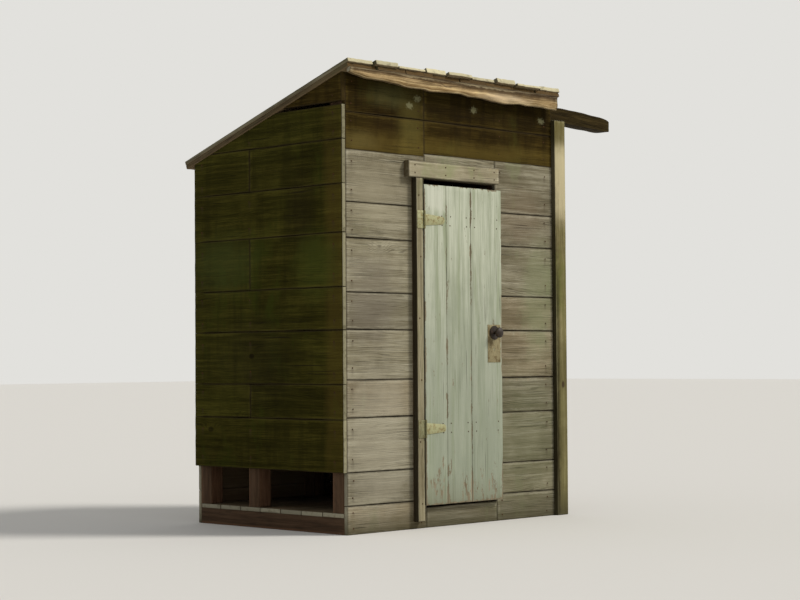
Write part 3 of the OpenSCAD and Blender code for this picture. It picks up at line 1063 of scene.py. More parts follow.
# The band's dark browns are partly its own less weathered wood and partly painted shade under the roof.
BROWN = Wood(
    "brown_boards", dark=(32, 23, 5), mid=(57, 45, 14), pale=(90, 75, 32), knot=(24, 16, 5),
    warm=(78, 55, 22), algae=(64, 62, 24), algae_share=0.25, inside=(84, 66, 44), contrast=0.8,
    specular=0.03, end=(62, 50, 24), runs=0.65,
    patches=(
        Patch((-0.345, 2.27), (0.085, 0.22), (112, 102, 52), 0.45, 0.85),
        Patch((-0.56, 2.19), (0.12, 0.10), (42, 29, 10), 0.50, 0.7, PatchShape.OVAL),
        Patch((-0.74, 2.13), (0.11, 0.050), (112, 102, 64), 0.35, 0.8, PatchShape.OVAL),
        Patch((0.08, 2.20), (0.045, 0.17), (44, 33, 12), 0.40, 0.8, PatchShape.OVAL),
        Patch((0.45, 2.18), (0.06, 0.15), (44, 33, 12), 0.40, 0.8, PatchShape.OVAL),
        # Painted shade under the fascia along the top of the band.
        Patch((0.0, 2.45), (1.0, 0.16), (24, 17, 4), 0.55, 0.8),
        Patch((-0.515, 2.405), (0.14, 0.055), (84, 82, 48), 0.45, 0.8, PatchShape.OVAL),
        *(
            Patch(at, (0.024, 0.017), (128, 126, 94), 0.55, 0.4, PatchShape.OVAL, grain=80.0, ragged=8.0)
            for at in PALE_SPOT_PLACES
        ),
        Patch((0.0, 2.11), (1.0, 0.07), (104, 88, 40), 0.45, 0.8),
    ),
)
TIMBER = Wood(
    "frame_timber", dark=(66, 44, 30), mid=(98, 70, 50), pale=(128, 98, 74), knot=(46, 30, 20),
    warm=(118, 78, 54), algae_share=0.05, inside=(104, 78, 58), blotch=0.3, end=(118, 96, 70), contrast=0.8,
)
# The beam's near-black browns are partly its own dark wood and partly painted shade.
BEAM = Wood(
    "beam_timber", dark=(26, 21, 8), mid=(50, 42, 18), pale=(80, 69, 38), knot=(24, 18, 8),
    algae_share=0.2, algae=(68, 70, 38), inside=(60, 52, 30), cracks=1.0, bump=0.003, end=(96, 82, 56),
    specular=0.05,
)
ROOF = Wood(
    "roof_boards", dark=(104, 97, 74), mid=(150, 142, 114), pale=(196, 188, 156), algae=(104, 108, 64),
    algae_share=0.45, inside=(112, 94, 70), cracks=0.9, end=(212, 203, 166), dirt_and_shade_width=0.005, contrast=0.9,
)
# A shaded copy of the roof boards: its darker colours and dark ends paint the shade under the upper boards'
# overhang.
SHADED_DECK = replace(
    ROOF, name="lower_roof_boards_shaded", dark=(66, 54, 34), mid=(100, 86, 58), pale=(136, 122, 88),
    end=(88, 68, 38),
)
PLANK = Wood(
    "tan_plank", dark=(84, 59, 30), mid=(164, 140, 98), pale=(230, 212, 168), knot=(66, 46, 28),
    warm=(148, 122, 84), warmth=0.9, algae_share=0.05, inside=(130, 104, 74), contrast=1.2,
)
TRIM = Wood(
    "trim_boards", dark=(114, 105, 80), mid=(160, 151, 124), pale=(198, 190, 164), algae=(140, 142, 104),
    algae_share=0.3, blotch=0.35, contrast=0.7, end=(96, 86, 62),
)
# The casing's near-black edge colour paints the shade on its side face beside the wall.
CASING = replace(
    TRIM, name="casing_board", dark=(92, 84, 60), mid=(130, 122, 96), pale=(166, 158, 132),
    algae=(116, 118, 80), dirt_and_shade=(30, 22, 8), dirt_and_shade_share=0.92, dirt_and_shade_width=0.004,
)
# The outer post's near-black edge colour paints the shade on its side faces.
POST = Wood(
    "outer_post", dark=(86, 80, 46), mid=(128, 123, 83), pale=(172, 166, 126), algae=(102, 104, 52),
    algae_share=0.35, splash_height=0.2, contrast=0.8, dirt_and_shade=(32, 26, 10), dirt_and_shade_share=0.85, dirt_and_shade_width=0.004,
    inside=(116, 110, 74),
    patches=(
        # Painted sunlight on the post's face below the beam, then painted shade under the beam at its top.
        Patch((0.93, 2.01), (0.2, 0.22), (206, 194, 156), 0.70, 0.4),
        Patch((0.93, 2.37), (0.2, 0.12), (84, 76, 34), 0.55, 0.3),
        Patch((0.93, 0.55), (0.2, 0.65), (84, 82, 48), 0.35, 0.6),
        # A dark strip down the post's left side: painted shade on its side face.
        Patch((0.880, 0.30), (0.024, 1.15), (36, 30, 12), 0.85, 0.75),
    ),
)
FLOORING = Wood(
    "floor_boards", dark=(70, 58, 42), mid=(104, 90, 68), pale=(134, 120, 96), algae_share=0.05,
    inside=(92, 74, 54), contrast=0.8,
)
DOOR_BACK = Wood(
    "door_back_wood", dark=(84, 70, 50), mid=(122, 106, 82), pale=(152, 138, 112), algae_share=0.05,
    contrast=0.8,
)
PAINT = DoorPaint("door_paint")
STRAP_IRON = Iron(
    "hinge_iron", base=(162, 161, 120), rust=(142, 130, 88), dark=(106, 98, 62), grain=45.0,
    patches=(
        Patch((-0.2825, 1.14), (0.0075, 1.2), (98, 90, 46), 0.75, 0.25),
        Patch((-0.31, 0.555), (0.028, 0.06), (98, 94, 64), 0.60, 0.3),
    ),
)
NAIL_IRON = Iron(
    "nail_iron", base=(62, 46, 32), rust=(88, 56, 32), dark=(36, 27, 19), metallic=0.0, rough=0.85,
    grain=120.0, shine=0.06,
)
LOCK_METAL = Iron(
    "lock_brass", base=(140, 129, 94), rust=(112, 98, 66), dark=(80, 68, 46), rough=0.7, grain=40.0,
)
KNOB_METAL = Iron(
    "knob_iron", base=(38, 26, 13), rust=(54, 35, 17), dark=(20, 14, 8), rust_share=0.4, metallic=0.2,
    rough=0.5,
)


def seat(piece: bpy.types.Object, body: str, slot: str, *nodes: str) -> None:
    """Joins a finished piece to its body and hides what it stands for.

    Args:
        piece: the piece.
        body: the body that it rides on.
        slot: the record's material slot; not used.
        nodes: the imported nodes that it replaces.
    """
    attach(piece, body)
    if nodes:
        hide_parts(*nodes)
    log.info("%s: %d faces", piece.name, len(piece.data.polygons))


def cut_off(piece: bpy.types.Object, point: Vector, normal: Vector) -> None:
    """Cuts a piece's mesh off where it passes a plane and closes the cut.

    Args:
        piece: the piece.
        point: a point of the plane.
        normal: the side that is cut away.
    """
    shape = bmesh.new()
    shape.from_mesh(piece.data)
    everything = [*shape.verts, *shape.edges, *shape.faces]
    cut = bmesh.ops.bisect_plane(shape, geom=everything, plane_co=point, plane_no=normal, clear_outer=True)
    rim = [e for e in cut["geom_cut"] if isinstance(e, bmesh.types.BMEdge)]
    if rim:
        bmesh.ops.holes_fill(shape, edges=rim, sides=0)
    shape.normal_update()
    shape.to_mesh(piece.data)
    shape.free()
    smooth(piece.data)


def mark_ends(piece: bpy.types.Object, along: Vector, depth: float = 0.06, square: float = 0.8) -> None:
    """Marks the faces that are cut across the grain, for the end-grain colour.

    Args:
        piece: the piece.
        along: the direction of the grain.
        depth: how far from the piece's own ends a cut face still counts, in metres.
        square: how squarely a cut face lies across the grain, up to 1.
    """
    marks = piece.data.attributes.get("cut") or piece.data.attributes.new("cut", "FLOAT", "FACE")
    reach = [vertex.co.dot(along) for vertex in piece.data.vertices]
    first, last = min(reach) + depth, max(reach) - depth
    for face in piece.data.polygons:
        outer = not first <= face.center.dot(along) <= last
        marks.data[face.index].value = 1.0 if outer and abs(face.normal.dot(along)) > square else 0.0


def shaped(name: str, shape: bmesh.types.BMesh) -> bpy.types.Object:
    """Turns a working shape into an object and frees the shape.

    Args:
        name: the object's name.
        shape: the working shape.

    Returns:
        The object.
    """
    mesh = bpy.data.meshes.new(name)
    shape.to_mesh(mesh)
    shape.free()
    return linked(name, mesh)


def bored(piece: bpy.types.Object, centre: Vector, radius: float, depth: float = 0.3) -> None:
    """Bores a round hole through a piece from front to back.

    Args:
        piece: the piece.
        centre: a point on the hole's axis, which runs along Y.
        radius: the hole's radius, in metres.
        depth: the drill's length, in metres.
    """
    shape = bmesh.new()
    turn = Matrix.Translation(centre) @ Matrix.Rotation(math.pi / 2, 4, "X")
    bmesh.ops.create_cone(
        shape, cap_ends=True, segments=24, radius1=radius, radius2=radius, depth=depth, matrix=turn)
    drill = shaped("drill", shape)
    step = piece.modifiers.new("bore", "BOOLEAN")
    step.operation = "DIFFERENCE"
    step.solver = "EXACT"
    step.object = drill
    settled(piece)
    mesh = drill.data
    bpy.data.objects.remove(drill)
    bpy.data.meshes.remove(mesh)
    smooth(piece.data)


def merged(node: str) -> bmesh.types.BMesh:
    """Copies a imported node's mesh with its doubles merged.

    Args:
        node: the node's name.

    Returns:
        The copy, as a working shape.
    """
    shape = bmesh.new()
    shape.from_mesh(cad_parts[node].data)
    bmesh.ops.remove_doubles(shape, verts=shape.verts, dist=1e-5)
    return shape


def islands(node: str) -> list[list[Vector]]:
    """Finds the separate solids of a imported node.

    Args:
        node: the node's name.

    Returns:
        The corner points of each solid, from left to right, and from the top down where two start level.
    """
    shape = merged(node)
    waiting = set(shape.verts)
    found = []
    while waiting:
        edge = [waiting.pop()]
        group = []
        while edge:
            vertex = edge.pop()
            group.append(vertex.co.copy())
            near = {link.other_vert(vertex) for link in vertex.link_edges} & waiting
            waiting -= near
            edge.extend(near)
        found.append(group)
    shape.free()
    return sorted(found, key=lambda group: (min(p.x for p in group), -max(p.z for p in group)))


def corners(node: str) -> list[Vector]:
    """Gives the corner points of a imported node."""
    return [vertex.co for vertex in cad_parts[node].data.vertices]


def extent(points: Iterable[Vector], plane: Plane) -> tuple[Vector, Vector]:
    """Measures points in a plane's own coordinates.

    Args:
        points: the points, in the frame.
        plane: the plane.

    Returns:
        The lowest and the highest coordinates.
    """
    inverse = plane.matrix.inverted()
    columns = list(zip(*(inverse @ p for p in points)))
    return Vector([min(c) for c in columns]), Vector([max(c) for c in columns])


def middle(node: str, axis: Axis) -> float:
    """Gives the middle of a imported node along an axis."""
    low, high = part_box(node)
    return (low[axis.value] + high[axis.value]) / 2


def between(edges: Sequence[float], gap: float, rim: float = 0.0) -> list[Pair]:
    """Divides a length into stretches with open joints between them.

    Args:
        edges: the cuts, with both ends of the length.
        gap: the width of each joint, in metres.
        rim: what stays free at both ends, in metres.

    Returns:
        Where each stretch starts and ends.
    """
    starts = [edges[0] + rim, *(cut + gap / 2 for cut in edges[1:-1])]
    ends = [*(cut - gap / 2 for cut in edges[1:-1]), edges[-1] - rim]
    return list(zip(starts, ends))


def even(low: float, high: float, count: int) -> list[float]:
    """Gives the cuts that divide a length evenly, with both its ends."""
    return [low + i * ((high - low) / count) for i in range(count + 1)]


def on_front(x: float, z: float, face: float, proud: float) -> Vector:
    """Gives a place a little proud of a face of the front, in the front plane's coordinates."""
    return Vector((x, z, proud - face))


@dataclass
class Workshop:
    """The trees, finishes and shared values that all sub-assemblies use."""

    boards: BoardTree = field(default_factory=BoardTree)
    nails: NailTree = field(default_factory=NailTree)
    screws: ScrewTree = field(default_factory=ScrewTree)
    finishes: dict[str, bpy.types.Material] = field(default_factory=dict)
    box: tuple[Vector, Vector] = field(default_factory=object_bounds)
    seed: float = 1.0

    def finish(self, look: Finish) -> bpy.types.Material:
        """Builds a finish once.

        Args:
            look: the finish.

        Returns:
            Its material.
        """
        if look.name not in self.finishes:
            self.finishes[look.name] = look.build()
        return self.finishes[look.name]

    def next_seed(self) -> float:
        """Gives a new seed for a board."""
        self.seed += SEED_STEP
        return self.seed

    def lay(
        self, name: str, boards: Sequence[Board], plane: Plane, look: Finish, sawing: Sawing = Sawing(),
    ) -> bpy.types.Object:
        """Lays boards in a plane as one piece.

        Args:
            name: the piece's name.
            boards: the boards, in the plane's coordinates.
            plane: the plane they lie in.
            look: their finish.
            sawing: how true they are.

        Returns:
            The piece, in the frame.
        """
        piece = self.boards.grow(name, [b.centre for b in boards], self.finish(look), {
            "Wander": sawing.wander, "Cup": sawing.cup, "Ragged ends": sawing.ragged,
            "Rows along": sawing.rows[0], "Rows across": sawing.rows[1],
        }, {
            "span": ("FLOAT_VECTOR", [b.span for b in boards]),
            "seed": ("FLOAT", [b.seed for b in boards]),
        })
        piece.data.transform(plane.matrix)
        self.hold(piece)
        if sawing.ease > 0:
            eased(piece, sawing.ease)
        else:
            smooth(piece.data)
        mark_ends(piece, plane.along)
        return piece

    def single(
        self, node: str, kind: str, plane: Plane, look: Finish, sawing: Sawing = Sawing(),
    ) -> bpy.types.Object:
        """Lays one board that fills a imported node's box. The piece is named after the node and a kind."""
        board = plane.board(*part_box(node), self.next_seed())
        return self.lay(f"{node}_{kind}", [board], plane, look, sawing)

    def hold(self, piece: bpy.types.Object) -> None:
        """Keeps a piece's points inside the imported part's box."""
        for vertex in piece.data.vertices:
            vertex.co = [min(max(c, a), b) for c, a, b in zip(vertex.co, *self.box)]

    def heads(
        self, tree: Tree, name: str, places: Sequence[Vector], plane: Plane, look: Iron, body: str, slot: str,
        inputs: dict[str, float] | None = None,
    ) -> None:
        """Sets the heads of fasteners at places in a plane and seats them.

        Args:
            tree: the tree that makes the heads.
            name: the piece's name.
            places: their centres, in the plane's coordinates.
            plane: the plane whose outward side they face.
            look: their finish.
            body: the body that they ride on.
            slot: the record's material slot.
            inputs: the values of the tree's inputs that aren't at their default.
        """
        piece = tree.grow(name, places, self.finish(look), inputs or {})
        piece.data.transform(plane.matrix)
        smooth(piece.data, tree.edge_deg)
        seat(piece, body, slot)

    def drive(
        self, name: str, places: Sequence[Vector], plane: Plane, body: str = "house",
        inputs: dict[str, float] | None = None,
    ) -> None:
        """Drives nails. Takes what heads() takes."""
        self.heads(self.nails, name, places, plane, NAIL_IRON, body, "hinge_iron", inputs)

    def turn_in(
        self, name: str, places: Sequence[Vector], look: Iron, body: str, slot: str = "hinge_iron",
        inputs: dict[str, float] | None = None,
    ) -> None:
        """Turns screws into the front. Takes what heads() takes."""
        self.heads(self.screws, name, places, FRONT_FACE, look, body, slot, inputs)

    def worn(self, node: str, look: Iron, body: str, slot: str, angle_deg: float, ease: float = 0.0) -> None:
        """Seats a copy of a packed metal piece with its flat faces joined and its edges worn.

        Args:
            node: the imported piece.
            look: its finish.
            body: the body that it rides on.
            slot: the record's material slot.
            angle_deg: edges sharper than this are eased or, with no easing, stay sharp.
            ease: the width of the worn edges, in metres.
        """
        shape = merged(node)
        bmesh.ops.dissolve_limit(shape, angle_limit=math.radians(0.5), verts=shape.verts, edges=shape.edges)
        piece = shaped(f"{node}_worn", shape)
        piece.data.materials.append(self.finish(look))
        if ease > 0:
            eased(piece, ease, 2, angle_deg)
        else:
            smooth(piece.data, angle_deg)
        seat(piece, body, slot, node)


@dataclass(frozen=True)
class RoofLine:
    """The underside of the roof boards, read from the walls that meet it."""

    slope: float
    front_y: float
    front_z: float

    @classmethod
    def read(cls) -> "RoofLine":
        """Reads the roof line from the tapered board on the left side."""
        low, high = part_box("left_tapered_board")
        return cls((high.z - low.z) / (high.y - low.y), low.y, high.z)

    @property
    def pitch(self) -> float:
        """The roof's slope as an angle, in radians."""
        return math.atan(self.slope)

    @property
    def normal(self) -> Vector:
        """The upward normal of the roof boards."""
        return Vector((0, math.sin(self.pitch), math.cos(self.pitch)))

    @property
    def point(self) -> Vector:
        """A point on the underside."""
        return Vector((0, self.front_y, self.front_z))

    @property
    def plane(self) -> Plane:
        """The plane of boards that run down the roof."""
        return Plane(self.point, Vector((0, math.cos(self.pitch), -math.sin(self.pitch))), -RIGHT)

    def z(self, y: float) -> float:
        """The underside's height at a distance back."""
        return self.front_z - (y - self.front_y) * self.slope

    def trim(self, piece: bpy.types.Object) -> None:
        """Cuts off what reaches above the underside."""
        cut_off(piece, self.point, self.normal)


def aim(heading_deg: float, height_deg: float) -> Vector:
    """Turns a heading and a height into a direction.

    Args:
        heading_deg: the heading, clockwise from straight back as seen from above.
        height_deg: the angle above the level.

    Returns:
        The direction, of length 1.
    """
    heading, height = math.radians(heading_deg), math.radians(height_deg)
    level = math.cos(height)
    return Vector((math.sin(heading) * level, math.cos(heading) * level, math.sin(height)))


@dataclass(frozen=True)
class Stage:
    """The pale floor, the soft key light, the even surroundings and the camera."""

    camera_place: Triple = (-7.9055, -7.968, 0.944)
    heading_deg: float = 45.48
    pitch_deg: float = 1.80
    roll_deg: float = -0.40
    lens_mm: float = 85.0
    sensor_mm: float = 36.0
    view_reach: float = 500.0
    floor_half: float = 60.0
    floor_colour: Colour = (214, 212, 207)
    floor_rough: float = 0.9
    floor_shine: float = 0.1
    back_colour: Colour = (226, 225, 221)
    key_strength: float = 2.5
    key_colour: Triple = (1.0, 0.97, 0.92)
    key_spread_deg: float = 14.0
    key_heading_deg: float = 138.0
    key_height_deg: float = 42.0
    key_distance: float = 8.0
    surround: float = 0.50

    def build(self) -> None:
        """Builds the whole stage."""
        self._camera()
        self._floor()
        self._key()
        self._world()
        bpy.context.scene.view_settings.view_transform = "Standard"

    def _camera(self) -> None:
        """Places the camera where the photograph was taken from, with a longer lens."""
        roll = math.radians(self.roll_deg)
        ahead = aim(self.heading_deg, self.pitch_deg)
        level = aim(self.heading_deg + 90, 0.0)
        above = level.cross(ahead)
        right = level * math.cos(roll) + above * math.sin(roll)
        up = above * math.cos(roll) - level * math.sin(roll)
        lens = bpy.data.cameras.new("camera")
        lens.lens = self.lens_mm
        lens.sensor_width = self.sensor_mm
        lens.clip_end = self.view_reach
        made = linked("camera", lens)
        turn = Matrix((right, up, -ahead)).transposed().to_4x4()
        made.matrix_world = Matrix.Translation(Vector(self.camera_place)) @ turn
        bpy.context.scene.camera = made

    def _floor(self) -> None:
        """Lays the floor."""
        half = self.floor_half
        mesh = bpy.data.meshes.new("studio_floor")
        rim = [(-half, -half, 0), (half, -half, 0), (half, half, 0), (-half, half, 0)]
        mesh.from_pydata(rim, [], [(0, 1, 2, 3)])
        material = bpy.data.materials.new("studio_floor")
        bench = cleared(material)
        shader = bench.out("ShaderNodeBsdfPrincipled", {
            "Base Color": linear(self.floor_colour), "Roughness": self.floor_rough,
            "Specular IOR Level": self.floor_shine,
        })
        bench.node("ShaderNodeOutputMaterial", {"Surface": shader})
        mesh.materials.append(material)
        linked("studio_floor", mesh)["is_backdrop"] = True

    def _key(self) -> None:
        """Hangs the soft key light at the front right, where the sun stands in the photograph."""
        light = bpy.data.lights.new("key", "SUN")
        light.energy = self.key_strength
        light.angle = math.radians(self.key_spread_deg)
        light.color = self.key_colour
        made = linked("key", light)
        towards = aim(self.key_heading_deg, self.key_height_deg)
        made.rotation_mode = "QUATERNION"
        made.rotation_quaternion = towards.to_track_quat("Z", "Y")
        made.location = towards * self.key_distance

    def _world(self) -> None:
        """Lights the surroundings evenly and shows them pale behind the object."""
        world = bpy.data.worlds.new("surroundings")
        bench = cleared(world)
        camera, glossy, through = (
            bench.out("ShaderNodeLightPath", None, f"Is {kind} Ray")
            for kind in ("Camera", "Glossy", "Transmission"))
        even = bench.out("ShaderNodeBackground", {"Color": (1, 1, 1, 1), "Strength": self.surround})
        pale = bench.out("ShaderNodeBackground", {"Color": linear(self.back_colour), "Strength": 1.0})
        both = bench.out("ShaderNodeMixShader", {0: camera.most(glossy).most(through), 1: even, 2: pale})
        bench.node("ShaderNodeOutputWorld", {"Surface": both})
        bpy.context.scene.world = world


@dataclass
class BoardWall:
    """One flat stretch of wall: horizontal boards that take the place of a packed slab.

    Args:
        node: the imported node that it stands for.
        plane: the plane of its boards.
        look: its finish.
        slot: the record's material slot.
        lines: the heights of the seams between boards, in metres above the ground.
        posts: where the posts behind it stand, along its length, for the nails.
        roof: the roof line, for a wall that ends under the roof.
        gap: the open joint between two boards.
        wander: how far the boards' edges wander.
        jointed: the numbers of the boards that are made of two lengths.
        joint: where those boards are cut, along the wall.
        tight_end: whether the seams close at the back end of a side wall.
    """

    node: str
    plane: Plane
    look: Wood
    slot: str
    lines: Sequence[float]
    posts: Sequence[float]
    roof: RoofLine | None = None
    gap: float = 0.004
    wander: float = 0.0025
    jointed: tuple[int, ...] = ()
    joint: float = 0.0
    tight_end: bool = False
    joint_gap: float = 0.002
    least_height: float = 0.02
    nail_margin: float = 0.012
    nail_shift: float = 0.005
    nail_rise: float = 0.02
    roof_margin: float = 0.02
    close_from: float = 0.10
    close_over: float = 0.05
    seam_reach: float = 0.008
    seam_left: float = 0.0002

    @property
    def run(self) -> int:
        """The coordinate that runs along the wall."""
        return (Axis.X if abs(self.plane.along.x) > 0.5 else Axis.Y).value

    def build(self, shop: Workshop) -> None:
        """Lays the boards, cuts them under the roof and drives their nails.

        Args:
            shop: the workshop.
        """
        low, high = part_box(self.node)
        start, end = low[self.run], high[self.run]
        lowest, highest = low.z + self.least_height, high.z - self.least_height
        levels = [low.z, *(z for z in self.lines if lowest < z < highest), high.z]
        boards, nails = [], []
        for number, (z0, z1) in enumerate(between(levels, self.gap)):
            cuts = [start, self.joint, end] if number in self.jointed else [start, end]
            for a, b in between(cuts, self.joint_gap):
                corner0, corner1 = low.copy(), high.copy()
                corner0[self.run], corner1[self.run] = a, b
                corner0.z, corner1.z = z0, z1
                board = self.plane.board(corner0, corner1, shop.next_seed())
                boards.append(board)
                nails.extend(self._nails(board, corner0, corner1))
        piece = shop.lay(f"{self.node}_boards", boards, self.plane, self.look, Sawing(self.wander))
        if self.tight_end:
            self._close_seams(piece, levels[1:-1], end)
        if self.roof is not None:
            self.roof.trim(piece)
        seat(piece, "house", self.slot, self.node)
        if nails:
            shop.drive(f"{self.node}_nails", nails, self.plane)

    def _close_seams(self, piece: bpy.types.Object, seams: Sequence[float], end: float) -> None:
        """Draws the boards' edges together at the back end of a side wall, so that no light shows through.

        Args:
            piece: the wall's boards.
            seams: the seams' heights.
            end: the place of the wall's back end, along Y.
        """
        for vertex in piece.data.vertices:
            near = min(1.0, max(0.0, (vertex.co.y - end + self.close_from) / self.close_over))
            for seam in seams:
                off = vertex.co.z - seam
                if near > 0 and abs(off) < self.seam_reach:
                    vertex.co.z = seam + off * (1 - near) + math.copysign(self.seam_left, off) * near

    def _nails(self, board: Board, low: Vector, high: Vector) -> list[Vector]:
        """Gives the nail places on one board, two at each post that it crosses.

        Args:
            board: the board.
            low: its lowest corner in the frame.
            high: its highest corner in the frame.

        Returns:
            The places, in the plane's coordinates.
        """
        found = []
        inverse = self.plane.matrix.inverted()
        rng = random.Random(board.seed)
        for post in self.posts:
            if not low[self.run] + self.nail_margin < post < high[self.run] - self.nail_margin:
                continue
            for share in (-NAIL_SHARE, NAIL_SHARE):
                place = (low + high) / 2
                place[self.run] = post + rng.uniform(-self.nail_shift, self.nail_shift)
                place.z += (high.z - low.z) * (share + rng.uniform(-self.nail_rise, self.nail_rise))
                if self.roof is not None and place.z > self.roof.z(place.y) - self.roof_margin:
                    continue
                spot = inverse @ place
                spot.z = board.centre.z + board.span.z / 2 + NAIL_PROUD
                found.append(spot)
        return found


@dataclass
class Walls:
    """The wall boards on all four sides."""

    shop: Workshop
    roof: RoofLine
    front_lines: tuple[float, ...] = (0.155, 0.335, 0.63, 0.834, 1.108, 1.31, 1.605, 1.80)
    band_lines: tuple[float, ...] = (2.29,)
    left_lines: tuple[float, ...] = (0.62, 0.81, 1.105, 1.34, 1.633, 1.898, 2.14)
    plain_lines: tuple[float, ...] = (0.19, 0.475, 0.665, 0.95, 1.14, 1.43, 1.62, 1.91, 2.10, 2.385)
    band_gap: float = 0.003
    left_gap: float = 0.0025
    plain_gap: float = 0.0012
    plain_wander: float = 0.001

    def build(self) -> None:
        """Builds every stretch of wall."""
        corner_x = middle("corner_post_front_left", Axis.X)
        door_posts = (middle(f"door_post_{side}", Axis.X) for side in ("left", "right"))
        posts_x = (corner_x, -corner_x, *door_posts)
        left_posts = ("corner_post_front_left", "side_post_left", "corner_post_back_left")
        posts_y = tuple(middle(name, Axis.Y) for name in left_posts)
        side = posts_y[1]
        front = replace(GREY_FRONT, nail_lines=posts_x)
        olive = replace(OLIVE, nail_lines=posts_y, nail_axis=Axis.Y)
        grey, brown = "grey_boards", "brown_boards"
        walls = [
            *(
                BoardWall(node, FRONT_FACE, front, grey, self.front_lines, posts_x)
                for node in ("front_wall_left", "front_wall_right", "door_sill", "front_wall_over_door")
            ),
            *(
                BoardWall(node, FRONT_FACE, BROWN, brown, self.band_lines, posts_x, self.roof, self.band_gap)
                for node in ("front_band_left", "front_band_right")
            ),
            BoardWall(
                "left_wall", LEFT_FACE, olive, "olive_boards", self.left_lines, posts_y, self.roof,
                self.left_gap, jointed=(1, 4, 6), joint=side, tight_end=True),
            BoardWall("left_tapered_board", LEFT_FACE, BROWN, brown, (), posts_y, self.roof),
            BoardWall(
                "right_wall", RIGHT_FACE, GREY, grey, self.plain_lines, posts_y, self.roof,
                self.plain_gap, self.plain_wander, jointed=(2, 5), joint=side),
            BoardWall(
                "back_wall", BACK_FACE, GREY, grey, self.plain_lines, (corner_x, 0.0, -corner_x), self.roof,
                self.plain_gap, self.plain_wander, jointed=(1, 4, 7)),
        ]
        for wall in walls:
            wall.build(self.shop)


@dataclass
class Frame:
    """The posts, skids, floor and roof timbers."""

    shop: Workshop
    roof: RoofLine
    sawing: Sawing = Sawing(0.0012, 0.0, 0.001, 0.004)
    floor_sawing: Sawing = Sawing(0.0015, 0.0008)
    floor_count: int = 7
    floor_gap: float = 0.004
    beam_sawing: Sawing = Sawing(0.005, 0.003, 0.004, 0.0, (110, 9))
    beam_worn: float = 0.09
    beam_shrink: float = 0.24
    worn_power: float = 2.4
    droop_power: float = 1.3
    beam_ease: float = 0.012

    UPRIGHTS = (
        "corner_post_front_left", "corner_post_front_right", "corner_post_back_left",
        "corner_post_back_right", "side_post_left", "side_post_right", "back_post",
        "door_post_left", "door_post_right",
    )

    def build(self) -> None:
        """Builds the frame's timbers."""
        for node in self.UPRIGHTS:
            self._timber(node, UPRIGHT_FRONT)
        self._timber("outer_post", UPRIGHT_FRONT, POST, "grey_boards")
        for node in ("skid_left", "skid_middle", "skid_right"):
            self._timber(node, DEPTH_TOP)
        for node in ("door_lintel", "roof_purlin", "back_plate"):
            self._timber(node, FRONT_FACE, under_roof=node != "door_lintel")
        self._floor()
        self._beam()

    def _timber(
        self, node: str, plane: Plane, look: Wood = TIMBER, slot: str = "frame_timber",
        under_roof: bool = False,
    ) -> None:
        """Makes one sawn timber in place of a packed one.

        Args:
            node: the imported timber.
            plane: the plane that it is laid in.
            look: its finish.
            slot: the record's material slot.
            under_roof: whether the roof boards lie on it.
        """
        piece = self.shop.single(node, "timber", plane, look, self.sawing)
        if under_roof:
            self.roof.trim(piece)
        seat(piece, "house", slot, node)

    def _beam(self) -> None:
        """Makes the rough front beam, which hangs down past the outer post and is worn round at its end."""
        low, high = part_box("front_beam")
        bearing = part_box("outer_post")[1]
        droop = bearing.z - low.z
        low.z = bearing.z
        board = FRONT_FACE.board(low, high, self.shop.next_seed())
        piece = self.shop.lay("front_beam_timber", [board], FRONT_FACE, BEAM, self.beam_sawing)
        core = (low + high) / 2
        for vertex in piece.data.vertices:
            past = max(0.0, vertex.co.x - (high.x - self.beam_worn)) / self.beam_worn
            out = max(0.0, vertex.co.x - bearing.x) / (high.x - bearing.x)
            size = 1 - self.beam_shrink * past ** self.worn_power
            vertex.co.y = core.y + (vertex.co.y - core.y) * size
            vertex.co.z = core.z + (vertex.co.z - core.z) * size - droop * out ** self.droop_power
        self.roof.trim(piece)
        eased(piece, self.beam_ease, 3, HEWN_DEG)
        self.shop.hold(piece)
        seat(piece, "house", "beam_timber", "front_beam")

    def _floor(self) -> None:
        """Lays the floor boards from wall to wall."""
        low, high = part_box("floor")
        boards = []
        for y0, y1 in between(even(low.y, high.y, self.floor_count), self.floor_gap, self.floor_gap / 2):
            corner0, corner1 = Vector((low.x, y0, low.z)), Vector((high.x, y1, high.z))
            boards.append(FLOOR_FACE.board(corner0, corner1, self.shop.next_seed()))
        piece = self.shop.lay("floor_planks", boards, FLOOR_FACE, FLOORING, self.floor_sawing)
        seat(piece, "house", "floor_boards", "floor")


